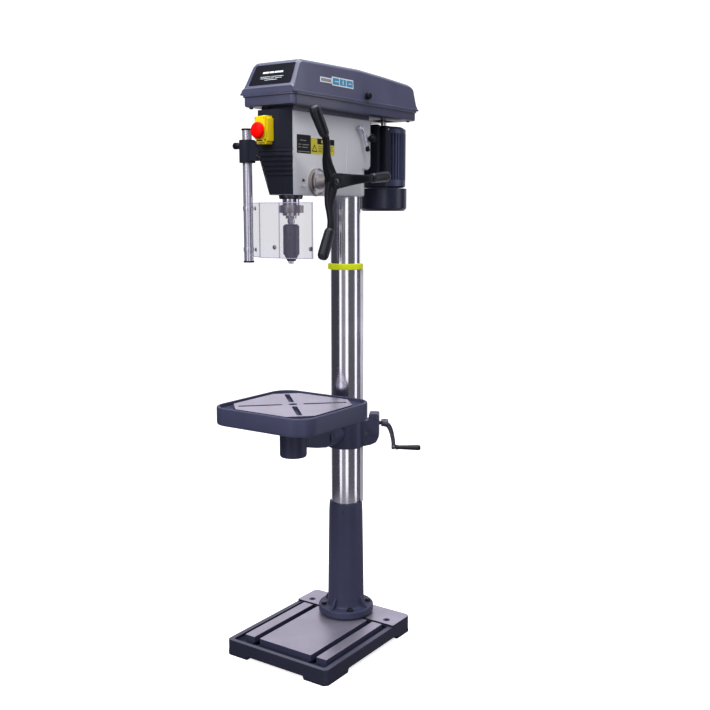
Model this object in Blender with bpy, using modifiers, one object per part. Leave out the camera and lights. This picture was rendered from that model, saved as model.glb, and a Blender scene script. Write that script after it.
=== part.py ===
"""Floor-standing drill press, built as separate working pieces.

Metres, +Z up.  The column stands on X = Y = 0, the operator stands at -Y and the
feed levers are on the +X side.
"""
import math

import bmesh
import bpy
from mathutils import Matrix, Vector

NAME = "drill_press"
GAP = 0.0003

# Column and base
COLUMN_R = 0.045
COLUMN_BORE_R = 0.0453
BASE_HALF_X = 0.185
BASE_FRONT = -0.360
BASE_REAR = 0.089
BASE_H = 0.046
PAD_TOP = 0.052
CHANNEL_Z = 0.034
SEAT_R = 0.076
SEAT_TOP = 0.060
SLEEVE_TOP = 0.415
FLANGE_R = 0.086
FLANGE_TOP = 0.080
COLUMN_TOP = 1.500
BOLT_CIRCLE_R = 0.0700
# Rack, collar and table lift
RACK_ANGLE = math.radians(30)
RACK_R = 0.054
COLLAR_Z = (1.135, 1.153)
BRACKET_Z = (0.590, 0.675)
BRACKET_R = 0.057
LIFT_R = 0.065
LIFT_Z = 0.634
CRANK_Z = 0.661
CRANK_SIDE = 0.014
CRANK_SWING = 0.077
# Table
SPINDLE_Y = -0.262
TILT_Z = 0.6385
TABLE_HALF = 0.170
TABLE_CORNER = 0.060
TABLE_Z = (0.716, 0.766)
ARM_R = 0.039
# Head
HEAD_X = 0.0587
HEAD_Z = (1.351, 1.573)
HEAD_FRONT = -0.327
HEAD_REAR = 0.049
NECK_R = 0.056
NECK_TOP = 1.428
COVER_FRONT = -0.358
TAPER_TOP = 1.456
TAPER_HALF = 0.0415
TAPER_FRONT = -0.3035
# Quill, spindle and chuck
QUILL_R = 0.0235
QUILL_Z = (1.295, 1.505)
SPINDLE_R = 0.0125
CHUCK_R = 0.0225
CHUCK_Z = (1.187, 1.2717)
# Feed
FEED_Y = -0.226
FEED_Z = 1.387
PINION_R = 0.0145
HUB_X = (0.105, 0.131)
GRIP_X = 0.150
GRIP_R0 = 0.140
GRIP_R1 = 0.228
ARM_ANGLES = tuple(math.radians(a) for a in (55, 175, 295))
# Belt drive, tray and lid
TRAY_X = 0.088
TRAY_Y = (-0.356, 0.262)
TRAY_Z = (1.584, 1.614)
LIP = 0.004
LID_TOP = 1.707
MOTOR_Y = 0.208
IDLER_Y = -0.038
STEP_H = 0.016
STEP_Z = 1.600
SPINDLE_STEPS = (0.058, 0.050, 0.042, 0.034)
IDLER_STEPS = (0.030, 0.038, 0.046, 0.054)
MOTOR_STEPS = (0.046, 0.038, 0.030, 0.022)
# Motor
MOTOR_R = 0.066
COWL_R = 0.0735
MOTOR_Z = (1.380, 1.566)
COWL_Z = (1.308, 1.3777)
SLIDE_BAR = (0.030, 1.535)
# Guard
POST = (-0.137, -0.283)
POST_R = 0.0135
POST_Z = (1.163, 1.535)
SHIELD_Z = (1.180, 1.331)

COLOURS = {
    "paint": ((0.075, 0.083, 0.115), 0.42, 0.0),
    "casting": ((0.60, 0.61, 0.60), 0.45, 0.0),
    "black": ((0.018, 0.018, 0.020), 0.45, 0.0),
    "rubber": ((0.02, 0.02, 0.021), 0.6, 0.0),
    "navy": ((0.016, 0.018, 0.032), 0.4, 0.0),
    "steel": ((0.55, 0.54, 0.52), 0.30, 1.0),
    "machined": ((0.50, 0.46, 0.44), 0.35, 1.0),
    "chrome": ((0.75, 0.75, 0.76), 0.12, 1.0),
    "dark_steel": ((0.08, 0.08, 0.10), 0.35, 1.0),
    "lime": ((0.62, 0.80, 0.02), 0.5, 0.0),
    "yellow": ((0.90, 0.72, 0.02), 0.4, 0.0),
    "red": ((0.80, 0.02, 0.02), 0.35, 0.0),
    "green": ((0.03, 0.35, 0.08), 0.4, 0.0),
    "clear": ((0.85, 0.83, 0.90), 0.1, 0.0),
    "alloy": ((0.40, 0.37, 0.34), 0.4, 1.0),
}


# ---------------------------------------------------------------- helpers

def clear_scene():
    """Remove what the start-up file holds."""
    for obj in list(bpy.data.objects):
        bpy.data.objects.remove(obj, do_unlink=True)


def make_collection(name):
    """Add a collection to the scene."""
    coll = bpy.data.collections.new(name)
    bpy.context.scene.collection.children.link(coll)
    return coll


def paint(obj, colour):
    """Give a piece a Principled material of its own."""
    rgb, rough, metal = COLOURS[colour]
    mat = bpy.data.materials.new(obj.name)
    mat.use_nodes = True
    bsdf = mat.node_tree.nodes["Principled BSDF"]
    bsdf.inputs["Base Color"].default_value = (*rgb, 1.0)
    bsdf.inputs["Roughness"].default_value = rough
    bsdf.inputs["Metallic"].default_value = metal
    mat.diffuse_color = (*rgb, 1.0)
    obj.data.materials.append(mat)


def place(name, bm, colour=None, at=(0, 0, 0)):
    """Turn a bmesh in world coordinates into an object with its origin at a point."""
    bmesh.ops.translate(bm, verts=bm.verts, vec=-Vector(at))
    bmesh.ops.recalc_face_normals(bm, faces=bm.faces)
    mesh = bpy.data.meshes.new(name)
    bm.to_mesh(mesh)
    bm.free()
    obj = bpy.data.objects.new(name, mesh)
    obj.location = at
    if colour:
        part_coll.objects.link(obj)
        paint(obj, colour)
    else:
        tool_coll.objects.link(obj)
        obj.hide_render = True
        obj.display_type = "WIRE"
    return obj


def box(name, lo, hi, colour=None, at=(0, 0, 0), turn=None):
    """A block between two corners, turned about the column axis if asked."""
    bm = bmesh.new()
    bmesh.ops.create_cube(bm, size=1.0)
    lo, hi = Vector(lo), Vector(hi)
    size = Matrix.Diagonal((*(hi - lo), 1.0))
    bmesh.ops.transform(bm, verts=bm.verts, matrix=Matrix.Translation((lo + hi) / 2) @ size)
    if turn is not None:
        bmesh.ops.transform(bm, verts=bm.verts, matrix=Matrix.Rotation(turn, 4, "Z"))
    return place(name, bm, colour, at)


def axis_matrix(direction, at):
    """Matrix taking local +Z to a direction, at a point."""
    rot = Vector((0, 0, 1)).rotation_difference(Vector(direction)).to_matrix().to_4x4()
    return Matrix.Translation(at) @ rot


def rod(name, start, end, r, colour=None, at=(0, 0, 0), segments=16, r2=None):
    """A solid cylinder or cone between two points."""
    start, end = Vector(start), Vector(end)
    bm = bmesh.new()
    bmesh.ops.create_cone(bm, cap_ends=True, segments=segments, radius1=r,
                          radius2=r if r2 is None else r2, depth=(end - start).length)
    bmesh.ops.transform(bm, verts=bm.verts, matrix=axis_matrix(end - start, (start + end) / 2))
    return place(name, bm, colour, at)


def prism(name, outline, z0, z1, colour=None, at=(0, 0, 0), frame=None):
    """A flat outline pushed up from z0 to z1, in world axes or in a given frame."""
    bm = bmesh.new()
    face = bm.faces.new([bm.verts.new((x, y, z0)) for x, y in outline])
    top = bmesh.ops.extrude_face_region(bm, geom=[face])["geom"]
    verts = [v for v in top if isinstance(v, bmesh.types.BMVert)]
    bmesh.ops.translate(bm, verts=verts, vec=(0, 0, z1 - z0))
    if frame is not None:
        bmesh.ops.transform(bm, verts=bm.verts, matrix=frame)
    return place(name, bm, colour, at)


def loft(name, sections, colour=None, at=(0, 0, 0)):
    """A solid through closed sections with equal point counts."""
    bm = bmesh.new()
    rings = [[bm.verts.new(p) for p in section] for section in sections]
    count = len(rings[0])
    for low, high in zip(rings, rings[1:]):
        for i in range(count):
            j = (i + 1) % count
            bm.faces.new((low[i], low[j], high[j], high[i]))
    bm.faces.new(rings[0])
    bm.faces.new(rings[-1])
    return place(name, bm, colour, at)


def turned(name, profile, colour=None, at=(0, 0, 0), direction=(0, 0, 1), steps=24, ring=False):
    """A lathe-turned piece: radius and height pairs from the top down the outer side."""
    mesh = bpy.data.meshes.new(name)
    count = len(profile)
    edges = [(i, i + 1) for i in range(count - 1)] + ([(count - 1, 0)] if ring else [])
    mesh.from_pydata([(r, 0, z) for r, z in profile], edges, [])
    obj = bpy.data.objects.new(name, mesh)
    obj.matrix_world = axis_matrix(direction, at)
    screw = obj.modifiers.new("lathe", "SCREW")
    screw.steps = steps
    screw.render_steps = steps
    screw.use_merge_vertices = True
    screw.merge_threshold = 0.00001
    if colour:
        part_coll.objects.link(obj)
        paint(obj, colour)
    else:
        tool_coll.objects.link(obj)
        obj.hide_render = True
        obj.display_type = "WIRE"
    return obj


def combine(obj, tools, operation="DIFFERENCE"):
    """Cut a list of tools from a piece, or join them to it."""
    for tool in tools:
        mod = obj.modifiers.new(operation.lower(), "BOOLEAN")
        mod.operation = operation
        mod.solver = "EXACT"
        mod.object = tool
    return obj


def join(obj, tools):
    """Join a list of solids to a piece."""
    return combine(obj, tools, "UNION")


def rounded(hx, y0, y1, r, count=4):
    """Outline of a rectangle with round corners."""
    points = []
    centres = ((hx - r, y1 - r, 0), (r - hx, y1 - r, 90), (r - hx, y0 + r, 180), (hx - r, y0 + r, 270))
    for cx, cy, start in centres:
        for k in range(count + 1):
            a = math.radians(start + 90 * k / count)
            points.append((cx + r * math.cos(a), cy + r * math.sin(a)))
    return points


def polar(r, angle, z=0.0):
    """Point at a radius and angle about the column."""
    return Vector((r * math.cos(angle), r * math.sin(angle), z))


# ---------------------------------------------------------------- base and column

def build_base():
    """Cast base: column seat, raised pads in a drip channel, two T-slots, feet and anchor holes."""
    c = 0.011
    x, y0, y1 = BASE_HALF_X, BASE_FRONT, BASE_REAR
    outline = [(x, y0 + c), (x, y1 - c), (x - c, y1), (c - x, y1),
               (-x, y1 - c), (-x, y0 + c), (c - x, y0), (x - c, y0)]
    base = prism("base_plate", outline, 0, BASE_H, "paint")
    top = BASE_H + 0.02
    well = box("cut_base_well", (-0.168, -0.345, CHANNEL_Z), (0.168, -0.012, top))
    combine(base, [well])
    pads = [box("pad", (x0, -0.312, CHANNEL_Z - 0.005), (x1, -0.022, PAD_TOP))
            for x0, x1 in ((-0.150, -0.115), (-0.095, 0.095), (0.115, 0.150))]
    inset = 0.001
    rear = [(x - inset, -0.0115), (x - inset, y1 - c), (x - c, y1 - inset),
            (c - x, y1 - inset), (inset - x, y1 - c), (inset - x, -0.0115)]
    pads.append(prism("platform", rear, BASE_H - 0.010, PAD_TOP))
    pads.append(rod("seat", (0, 0, BASE_H - 0.020), (0, 0, SEAT_TOP), SEAT_R, segments=32))
    join(base, pads)
    cuts = []
    for side in (-1, 1):
        xs = sorted((side * 0.095, side * 0.115))
        cuts.append(box("cut_slot", (xs[0], -0.326, 0.028), (xs[1], -0.018, CHANNEL_Z + 0.001)))
        xs = sorted((side * 0.088, side * 0.122))
        cuts.append(box("cut_slot_wide", (xs[0], -0.3071, 0.018), (xs[1], -0.0269, 0.029)))
        cuts.append(rod("cut_anchor", (side * 0.144, 0.014, -0.01), (side * 0.144, 0.014, 0.06), 0.006))
        xs = sorted((side * 0.166, side * 0.20))
        cuts.append(box("cut_arch_side", (xs[0], -0.255, -0.01), (xs[1], 0.014, 0.012)))
    cuts.append(box("cut_arch_front", (-0.106, -0.38, -0.01), (0.106, -0.343, 0.012)))
    cuts.append(box("cut_arch_rear", (-0.106, 0.072, -0.01), (0.106, 0.11, 0.012)))
    for k in range(4):
        p = polar(BOLT_CIRCLE_R, math.radians(45 + 90 * k))
        cuts.append(rod("cut_bolt", (p.x, p.y, 0.044), (p.x, p.y, 0.07), 0.0056, segments=12))
    combine(base, cuts)


def build_sleeve():
    """Column foot casting: bolted flange, gussets and a tall tapered sleeve."""
    profile = [(COLUMN_BORE_R, SLEEVE_TOP), (0.0515, SLEEVE_TOP), (0.0570, FLANGE_TOP + 0.012),
               (0.0580, FLANGE_TOP + 0.002), (0.0590, FLANGE_TOP), (FLANGE_R, FLANGE_TOP), (FLANGE_R, SEAT_TOP + GAP),
               (COLUMN_BORE_R, SEAT_TOP + GAP)]
    sleeve = turned("column_sleeve", profile, "paint", steps=32, ring=True)
    ribs = []
    for k in range(4):
        frame = Matrix.Rotation(math.radians(90 * k), 4, "Z") @ Matrix.Rotation(math.pi / 2, 4, "X")
        outline = [(0.052, 0.074), (0.079, 0.074), (0.079, 0.085), (0.052, 0.118)]
        ribs.append(prism("rib", outline, -0.004, 0.004, frame=frame))
    join(sleeve, ribs)
    holes = []
    for k in range(4):
        p = polar(BOLT_CIRCLE_R, math.radians(45 + 90 * k))
        holes.append(rod("cut_flange", (p.x, p.y, 0.05), (p.x, p.y, 0.09), 0.0056, segments=12))
    combine(sleeve, holes)
    for k in range(4):
        p = polar(BOLT_CIRCLE_R, math.radians(45 + 90 * k))
        top = FLANGE_TOP + 0.0085
        profile = [(0, top), (0.0095, top), (0.0095, FLANGE_TOP + GAP), (0.005, FLANGE_TOP + GAP),
                   (0.005, 0.046), (0, 0.046)]
        turned(f"flange_bolt_{k + 1}", profile, "dark_steel", at=(p.x, p.y, 0), steps=12)


def build_column():
    """Steel column tube and the collar that holds the rack's upper end."""
    tube = [(0.041, COLUMN_TOP), (COLUMN_R, COLUMN_TOP), (COLUMN_R, SEAT_TOP + 0.001), (0.041, SEAT_TOP + 0.001)]
    turned("column_tube", tube, "steel", steps=32, ring=True)
    low, high = COLLAR_Z
    ring = [(COLUMN_BORE_R, high), (0.053, high), (0.053, low), (COLUMN_BORE_R, low)]
    turned("rack_collar", ring, "lime", steps=32, ring=True)


def build_rack():
    """Lifting rack lying along the column, free to swing round it."""
    z0, z1 = SLEEVE_TOP + 0.001, COLLAR_Z[0] - 0.001
    rack = box("rack", (COLUMN_BORE_R - 0.002, -0.010, z0), (RACK_R, 0.010, z1), "steel", turn=RACK_ANGLE)
    hollow = rod("cut_rack", (0, 0, z0 - 0.01), (0, 0, z1 + 0.01), COLUMN_BORE_R, segments=64)
    combine(rack, [hollow])


# ---------------------------------------------------------------- table lift

def build_bracket():
    """Table bracket: split clamp on the column, worm housing and tilt flange."""
    low, high = BRACKET_Z
    ring = [(COLUMN_BORE_R, high), (BRACKET_R, high), (BRACKET_R, low), (COLUMN_BORE_R, low)]
    bracket = turned("table_bracket", ring, "paint", steps=32, ring=True)
    tilt = rod("tilt_flange", (0, -0.050, TILT_Z), (0, -0.100, TILT_Z), 0.0315, segments=24)
    house = prism("housing", [(0.050, 0.592), (0.078, 0.598), (0.095, 0.606), (0.103, 0.622),
                              (0.103, 0.6945), (0.072, 0.6945), (0.072, 0.674), (0.050, 0.674)],
                  -0.028, 0.020, frame=Matrix.Rotation(RACK_ANGLE, 4, "Z") @ Matrix.Rotation(math.pi / 2, 4, "X"))
    clamp = math.radians(150)
    ears = box("ears", (0.050, -0.016, 0.602), (0.088, 0.016, 0.663), turn=clamp)
    join(bracket, [tilt, house, ears])
    cuts = [rod("cut_column", (0, 0, low - 0.01), (0, 0, high + 0.01), COLUMN_BORE_R, segments=32),
            box("cut_rack_way", (0.040, -0.0105, 0.58), (RACK_R + 0.0006, 0.0105, 0.70), turn=RACK_ANGLE),
            box("cut_gears", (0.0475, -0.0175, 0.612), (0.088, 0.0175, 0.653), turn=RACK_ANGLE),
            box("cut_worm", (0.056, 0.0035, 0.645), (0.090, 0.0245, 0.6712), turn=RACK_ANGLE),
            box("cut_clamp", (0.040, -0.002, 0.58), (0.10, 0.002, 0.70), turn=clamp),
            rod("cut_tilt", (0, -0.056, TILT_Z), (0, -0.11, TILT_Z), 0.0083)]
    t = polar(1.0, RACK_ANGLE + math.pi / 2)
    mid = polar(LIFT_R, RACK_ANGLE, LIFT_Z)
    cuts.append(rod("cut_lift", mid - t * 0.03, mid + t * 0.03, 0.0064))
    side = t * CRANK_SIDE
    cuts.append(rod("cut_crank", polar(0.085, RACK_ANGLE, CRANK_Z) + side, polar(0.11, RACK_ANGLE, CRANK_Z) + side, 0.0064))
    t = polar(1.0, clamp + math.pi / 2)
    mid = polar(0.075, clamp, 0.6325)
    cuts.append(rod("cut_clamp_bolt", mid - t * 0.03, mid + t * 0.03, 0.0055))
    combine(bracket, cuts)


def build_lift():
    """Worm wheel with its rack pinion, the crank worm shaft, the crank and its handle."""
    t = polar(1.0, RACK_ANGLE + math.pi / 2)
    out = polar(1.0, RACK_ANGLE)
    profile = [(0, 0.0245), (0.006, 0.0245), (0.006, 0.0168), (0.0168, 0.0168), (0.0168, 0.0112),
               (0.0104, 0.0112), (0.0104, -0.0165), (0.006, -0.0165), (0.006, -0.0205), (0, -0.0205)]
    turned("lift_gear", profile, "dark_steel", at=polar(LIFT_R, RACK_ANGLE, LIFT_Z), direction=t, steps=20)
    side = t * CRANK_SIDE
    at = polar(0.0, RACK_ANGLE, CRANK_Z) + side
    profile = [(0, 0.131), (0.0115, 0.131), (0.0115, 0.109), (0.006, 0.109), (0.006, 0.088),
               (0.0094, 0.088), (0.0094, 0.058), (0, 0.058)]
    crank = turned("crank", profile, "dark_steel", at=at, direction=out, steps=16)
    end = CRANK_Z - CRANK_SWING
    bend = [(0.116, 0.652), (0.128, 0.650), (0.137, 0.634), (0.143, 0.610), (0.1435, 0.592), (0.1435, end - 0.006),
            (0.1515, end - 0.006), (0.1515, 0.600), (0.150, 0.618), (0.143, 0.642), (0.131, 0.660), (0.116, 0.662)]
    frame = Matrix.Translation(side) @ Matrix.Rotation(RACK_ANGLE, 4, "Z") @ Matrix.Rotation(math.pi / 2, 4, "X")
    arm = prism("crank_arm", bend, -0.005, 0.005, frame=frame)
    pin = rod("crank_pin", polar(0.146, RACK_ANGLE, end) + side, polar(0.222, RACK_ANGLE, end) + side, 0.0032, segments=12)
    join(crank, [arm, pin])
    handle = [(0.0036, 0.231), (0.0075, 0.231), (0.0085, 0.224), (0.0065, 0.160), (0.0078, 0.153), (0.0036, 0.153)]
    turned("crank_handle", handle, "rubber", at=polar(0.0, RACK_ANGLE, end) + side, direction=out,
           steps=16, ring=True)


def build_bracket_lock():
    """Lever that squeezes the bracket's ears on to the column."""
    clamp = math.radians(150)
    t = polar(1.0, clamp - math.pi / 2)
    at = polar(0.075, clamp, 0.6325)
    profile = [(0, 0.040), (0.009, 0.040), (0.011, 0.030), (0.011, 0.0165), (0.005, 0.0165),
               (0.005, -0.014), (0, -0.014)]
    lock = turned("bracket_lock", profile, "dark_steel", at=at, direction=t, steps=16)
    start = at + t * 0.032
    end = start + Vector((0, 0, -0.055)) + t * 0.02
    ball = rod("lock_ball", end - Vector((0, 0, 0.012)), end + Vector((0, 0, 0.008)), 0.009)
    join(lock, [rod("lock_arm", start, end, 0.0045, segments=12), ball])


# ---------------------------------------------------------------- table

def build_arm():
    """Table arm: tilt disc, web and the boss that carries the table."""
    arm = rod("table_arm", (0, SPINDLE_Y, 0.612), (0, SPINDLE_Y, 0.7155), ARM_R, "paint",
              at=(0, -0.100, TILT_Z), segments=24)
    disc = rod("tilt_disc", (0, -0.1003, TILT_Z), (0, -0.118, TILT_Z), 0.0315, segments=24)
    web = prism("web", [(-0.100 - 0.010, 0.612), (-0.100 - 0.010, 0.690), (SPINDLE_Y, 0.706), (SPINDLE_Y, 0.640)],
                -0.026, 0.026, frame=Matrix.Rotation(math.pi / 2, 4, "Z") @ Matrix.Rotation(math.pi / 2, 4, "X"))
    join(arm, [disc, web])
    cuts = [rod("cut_spigot", (0, SPINDLE_Y, 0.60), (0, SPINDLE_Y, 0.73), 0.0203, segments=24),
            rod("cut_tilt_bolt", (0, -0.09, TILT_Z), (0, -0.13, TILT_Z), 0.0083),
            box("cut_nut", (-0.018, -0.152, 0.600), (0.018, -0.118, 0.657)),
            rod("cut_table_lock", (-0.05, SPINDLE_Y, 0.700), (-0.01, SPINDLE_Y, 0.700), 0.0053)]
    combine(arm, cuts)
    profile = [(0, 0.100), (0.0125, 0.100), (0.0125, 0.082), (0.008, 0.082), (0.008, 0.020), (0, 0.020)]
    turned("tilt_bolt", profile, "dark_steel", at=(0, -0.0365, TILT_Z), direction=(0, -1, 0), steps=12)
    profile = [(0, 0.060), (0.010, 0.060), (0.012, 0.052), (0.009, 0.042), (0.0047, 0.040),
               (0.0047, 0.0215), (0, 0.0215)]
    lock = turned("table_lock", profile, "dark_steel", at=(0, SPINDLE_Y, 0.700), direction=(-1, 0, 0), steps=16)
    join(lock, [rod("table_lock_arm", (-0.050, SPINDLE_Y, 0.700), (-0.056, SPINDLE_Y - 0.040, 0.692), 0.0045)])


def build_table():
    """Square table with a rim, coolant channel, slotted octagonal face and spigot."""
    low, high = TABLE_Z
    h, cy = TABLE_HALF, SPINDLE_Y
    table = prism("table", rounded(h, cy - h, cy + h, TABLE_CORNER, 6), low, high, "machined", at=(0, cy, 0))
    join(table, [rod("spigot", (0, cy, 0.630), (0, cy, low + 0.01), 0.020, segments=24)])
    inner, face = h - 0.009, 0.145
    well = prism("cut_channel", rounded(inner, cy - inner, cy + inner, TABLE_CORNER - 0.009, 6),
                 high - 0.013, high + 0.01)
    c = 0.056
    pad = prism("pad", [(x, cy + y) for x, y in (
        (face, -face + c), (face, face - c), (face - c, face), (c - face, face),
        (-face, face - c), (-face, c - face), (c - face, -face), (face - c, -face))],
        high - 0.018, high - 0.002)
    combine(table, [well])
    join(table, [pad])
    cuts = [rod("cut_centre", (0, cy, high - 0.05), (0, cy, high + 0.01), 0.0125)]
    for k in range(4):
        frame = Matrix.Translation((0, cy, 0)) @ Matrix.Rotation(math.radians(45 + 90 * k), 4, "Z")
        slot = [(0.030, -0.0075), (0.155, -0.0075), (0.155, 0.0075), (0.030, 0.0075)]
        cuts.append(prism("cut_diagonal", slot, high - 0.0135, high + 0.01, frame=frame))
        q = Matrix.Translation((0, cy, 0)) @ Matrix.Rotation(math.radians(90 * k), 4, "Z")
        pocket = [(0.045, 0.045), (0.138, 0.045), (0.138, 0.138), (0.045, 0.138)]
        cuts.append(prism("cut_pocket", pocket, low - 0.01, high - 0.026, frame=q))
    combine(table, cuts)


# ---------------------------------------------------------------- head

def build_head():
    """Head casting with its column neck, quill bore and shaft bores."""
    z0, z1 = HEAD_Z
    side = [(HEAD_FRONT, TAPER_TOP), (TAPER_FRONT, z0), (0.0, z0), (0.0, NECK_TOP), (HEAD_REAR - 0.010, NECK_TOP),
            (HEAD_REAR, NECK_TOP + 0.010), (HEAD_REAR, z1), (HEAD_FRONT, z1)]
    frame = Matrix.Rotation(math.pi / 2, 4, "Z") @ Matrix.Rotation(math.pi / 2, 4, "X")
    head = prism("head_casting", side, -HEAD_X, HEAD_X, "casting", frame=frame)
    join(head, [rod("neck", (0, 0, z0), (0, 0, NECK_TOP + 0.02), NECK_R, segments=32)])
    cuts = [rod("cut_head_column", (0, 0, 1.33), (0, 0, COLUMN_TOP + 0.003), COLUMN_BORE_R, segments=32),
            rod("cut_quill", (0, SPINDLE_Y, 1.33), (0, SPINDLE_Y, 1.512), QUILL_R + GAP, segments=24),
            rod("cut_pulley_hub", (0, SPINDLE_Y, 1.50), (0, SPINDLE_Y, 1.60), 0.0215, segments=24),
            rod("cut_feed", (-0.07, FEED_Y, FEED_Z), (0.07, FEED_Y, FEED_Z), 0.0093),
            rod("cut_pinion", (-0.018, FEED_Y, FEED_Z), (0.018, FEED_Y, FEED_Z), 0.0165, segments=20),
            box("cut_core", (-0.050, -0.196, 1.430), (0.050, -0.068, 1.60)),
            rod("cut_tension", (0.0400, -0.024, 1.545), (0.07, -0.024, 1.545), 0.0056),
            rod("cut_lock", (0.046, 0.034, 1.518), (0.07, 0.034, 1.518), 0.0045)]
    for sx in (-1, 1):
        cuts.append(loft("cut_taper", [[(sx * (HEAD_X + 0.0002), HEAD_FRONT + 0.067 * t, z),
                                        (sx * (HEAD_X + (TAPER_HALF - HEAD_X) * t), HEAD_FRONT - 0.001 + 0.0235 * t, z),
                                        (sx * 0.080, HEAD_FRONT - 0.020, z)]
                                       for z, t in ((TAPER_TOP, 0.0), (z0 - 0.002, 1.0))]))
        x = sx * SLIDE_BAR[0]
        cuts.append(rod("cut_bar", (x, -0.060, SLIDE_BAR[1]), (x, 0.06, SLIDE_BAR[1]), 0.0093))
    combine(head, cuts)


def build_front_cover():
    """Black moulded cover on the head's front, tapering to its lower edge."""
    sections = []
    for z, flank, back, half, front in ((1.353, TAPER_HALF, TAPER_FRONT, 0.028, -0.321),
                                        (TAPER_TOP, HEAD_X, HEAD_FRONT, 0.034, COVER_FRONT),
                                        (1.573, HEAD_X, HEAD_FRONT, 0.034, COVER_FRONT)):
        y = back - 0.0006
        sections.append([(-flank, y, z), (-half, front, z), (half, front, z), (flank, y, z)])
    loft("front_cover", sections, "black")


def build_quill():
    """Quill and its clamp, the spindle and the chuck arbor."""
    z0, z1 = QUILL_Z
    ring = [(SPINDLE_R + GAP, z1), (QUILL_R, z1), (QUILL_R, z0), (SPINDLE_R + GAP, z0)]
    quill = turned("quill", ring, "steel", at=(0, SPINDLE_Y, 0), ring=True)
    flat = box("cut_flat", (-0.03, SPINDLE_Y + 0.0210, 1.345), (0.03, SPINDLE_Y + 0.04, 1.49))
    combine(quill, [flat])
    ring = [(QUILL_R + GAP, 1.324), (0.030, 1.324), (0.030, 1.302), (QUILL_R + GAP, 1.302)]
    clamp = turned("quill_clamp", ring, "black", at=(0, SPINDLE_Y, 0), ring=True)
    ears = []
    for side in (-1, 1):
        xs = sorted((side * 0.028, side * 0.038))
        ears.append(box("ear", (xs[0], SPINDLE_Y - 0.008, 1.303), (xs[1], SPINDLE_Y + 0.008, 1.323)))
    join(clamp, ears)
    profile = [(0, 1.655), (SPINDLE_R - 0.0005, 1.655), (SPINDLE_R - 0.0005, 1.508), (SPINDLE_R, 1.506),
               (SPINDLE_R, 1.2945), (0.015, 1.2945), (0.015, 1.287), (0.0083, 1.287), (0.0083, 1.350), (0, 1.350)]
    turned("spindle", profile, "steel", at=(0, SPINDLE_Y, 0))
    profile = [(0, 1.348), (0.0075, 1.348), (0.008, 1.286), (0.010, 1.2855), (0.010, 1.274), (0.0078, 1.2735),
               (0.0072, 1.247), (0, 1.247)]
    turned("chuck_arbor", profile, "steel", at=(0, SPINDLE_Y, 0))


def jaw_frame(k):
    """Direction and tip of one chuck jaw."""
    a = math.radians(90 + 120 * k)
    tip = Vector((0.0042 * math.cos(a), SPINDLE_Y + 0.0042 * math.sin(a), 1.162))
    top = Vector((0.0150 * math.cos(a), SPINDLE_Y + 0.0150 * math.sin(a), 1.206))
    return tip, (top - tip).normalized()


def build_chuck():
    """Keyed chuck: body, turning sleeve and three sloping jaws."""
    z0, z1 = CHUCK_Z
    profile = [(0, 1.244), (0.0081, 1.244), (0.0081, z1), (0.0165, z1), (CHUCK_R, z1 - 0.005), (CHUCK_R, 1.237),
               (0.0195, 1.237), (0.0195, 1.186), (0.0115, 1.170), (0, 1.170)]
    body = turned("chuck_body", profile, "dark_steel", at=(0, SPINDLE_Y, 0))
    bores = []
    for k in range(3):
        tip, d = jaw_frame(k)
        bores.append(rod("cut_jaw", tip - d * 0.02, tip + d * 0.049, 0.0037, segments=12))
        jaw = rod(f"chuck_jaw_{k + 1}", tip, tip + d * 0.036, 0.0033, "steel", at=tip, segments=12)
        cutter = box("cut_jaw_tip", (-0.02, SPINDLE_Y - 0.02, 1.15), (0.02, SPINDLE_Y + 0.02, 1.1625))
        combine(jaw, [cutter])
    combine(body, bores)
    ring = [(0.0198, 1.2365), (CHUCK_R, 1.2365), (CHUCK_R, z0 + 0.001), (0.0198, z0 + 0.001)]
    turned("chuck_sleeve", ring, "chrome", at=(0, SPINDLE_Y, 0), ring=True)


# ---------------------------------------------------------------- feed

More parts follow.
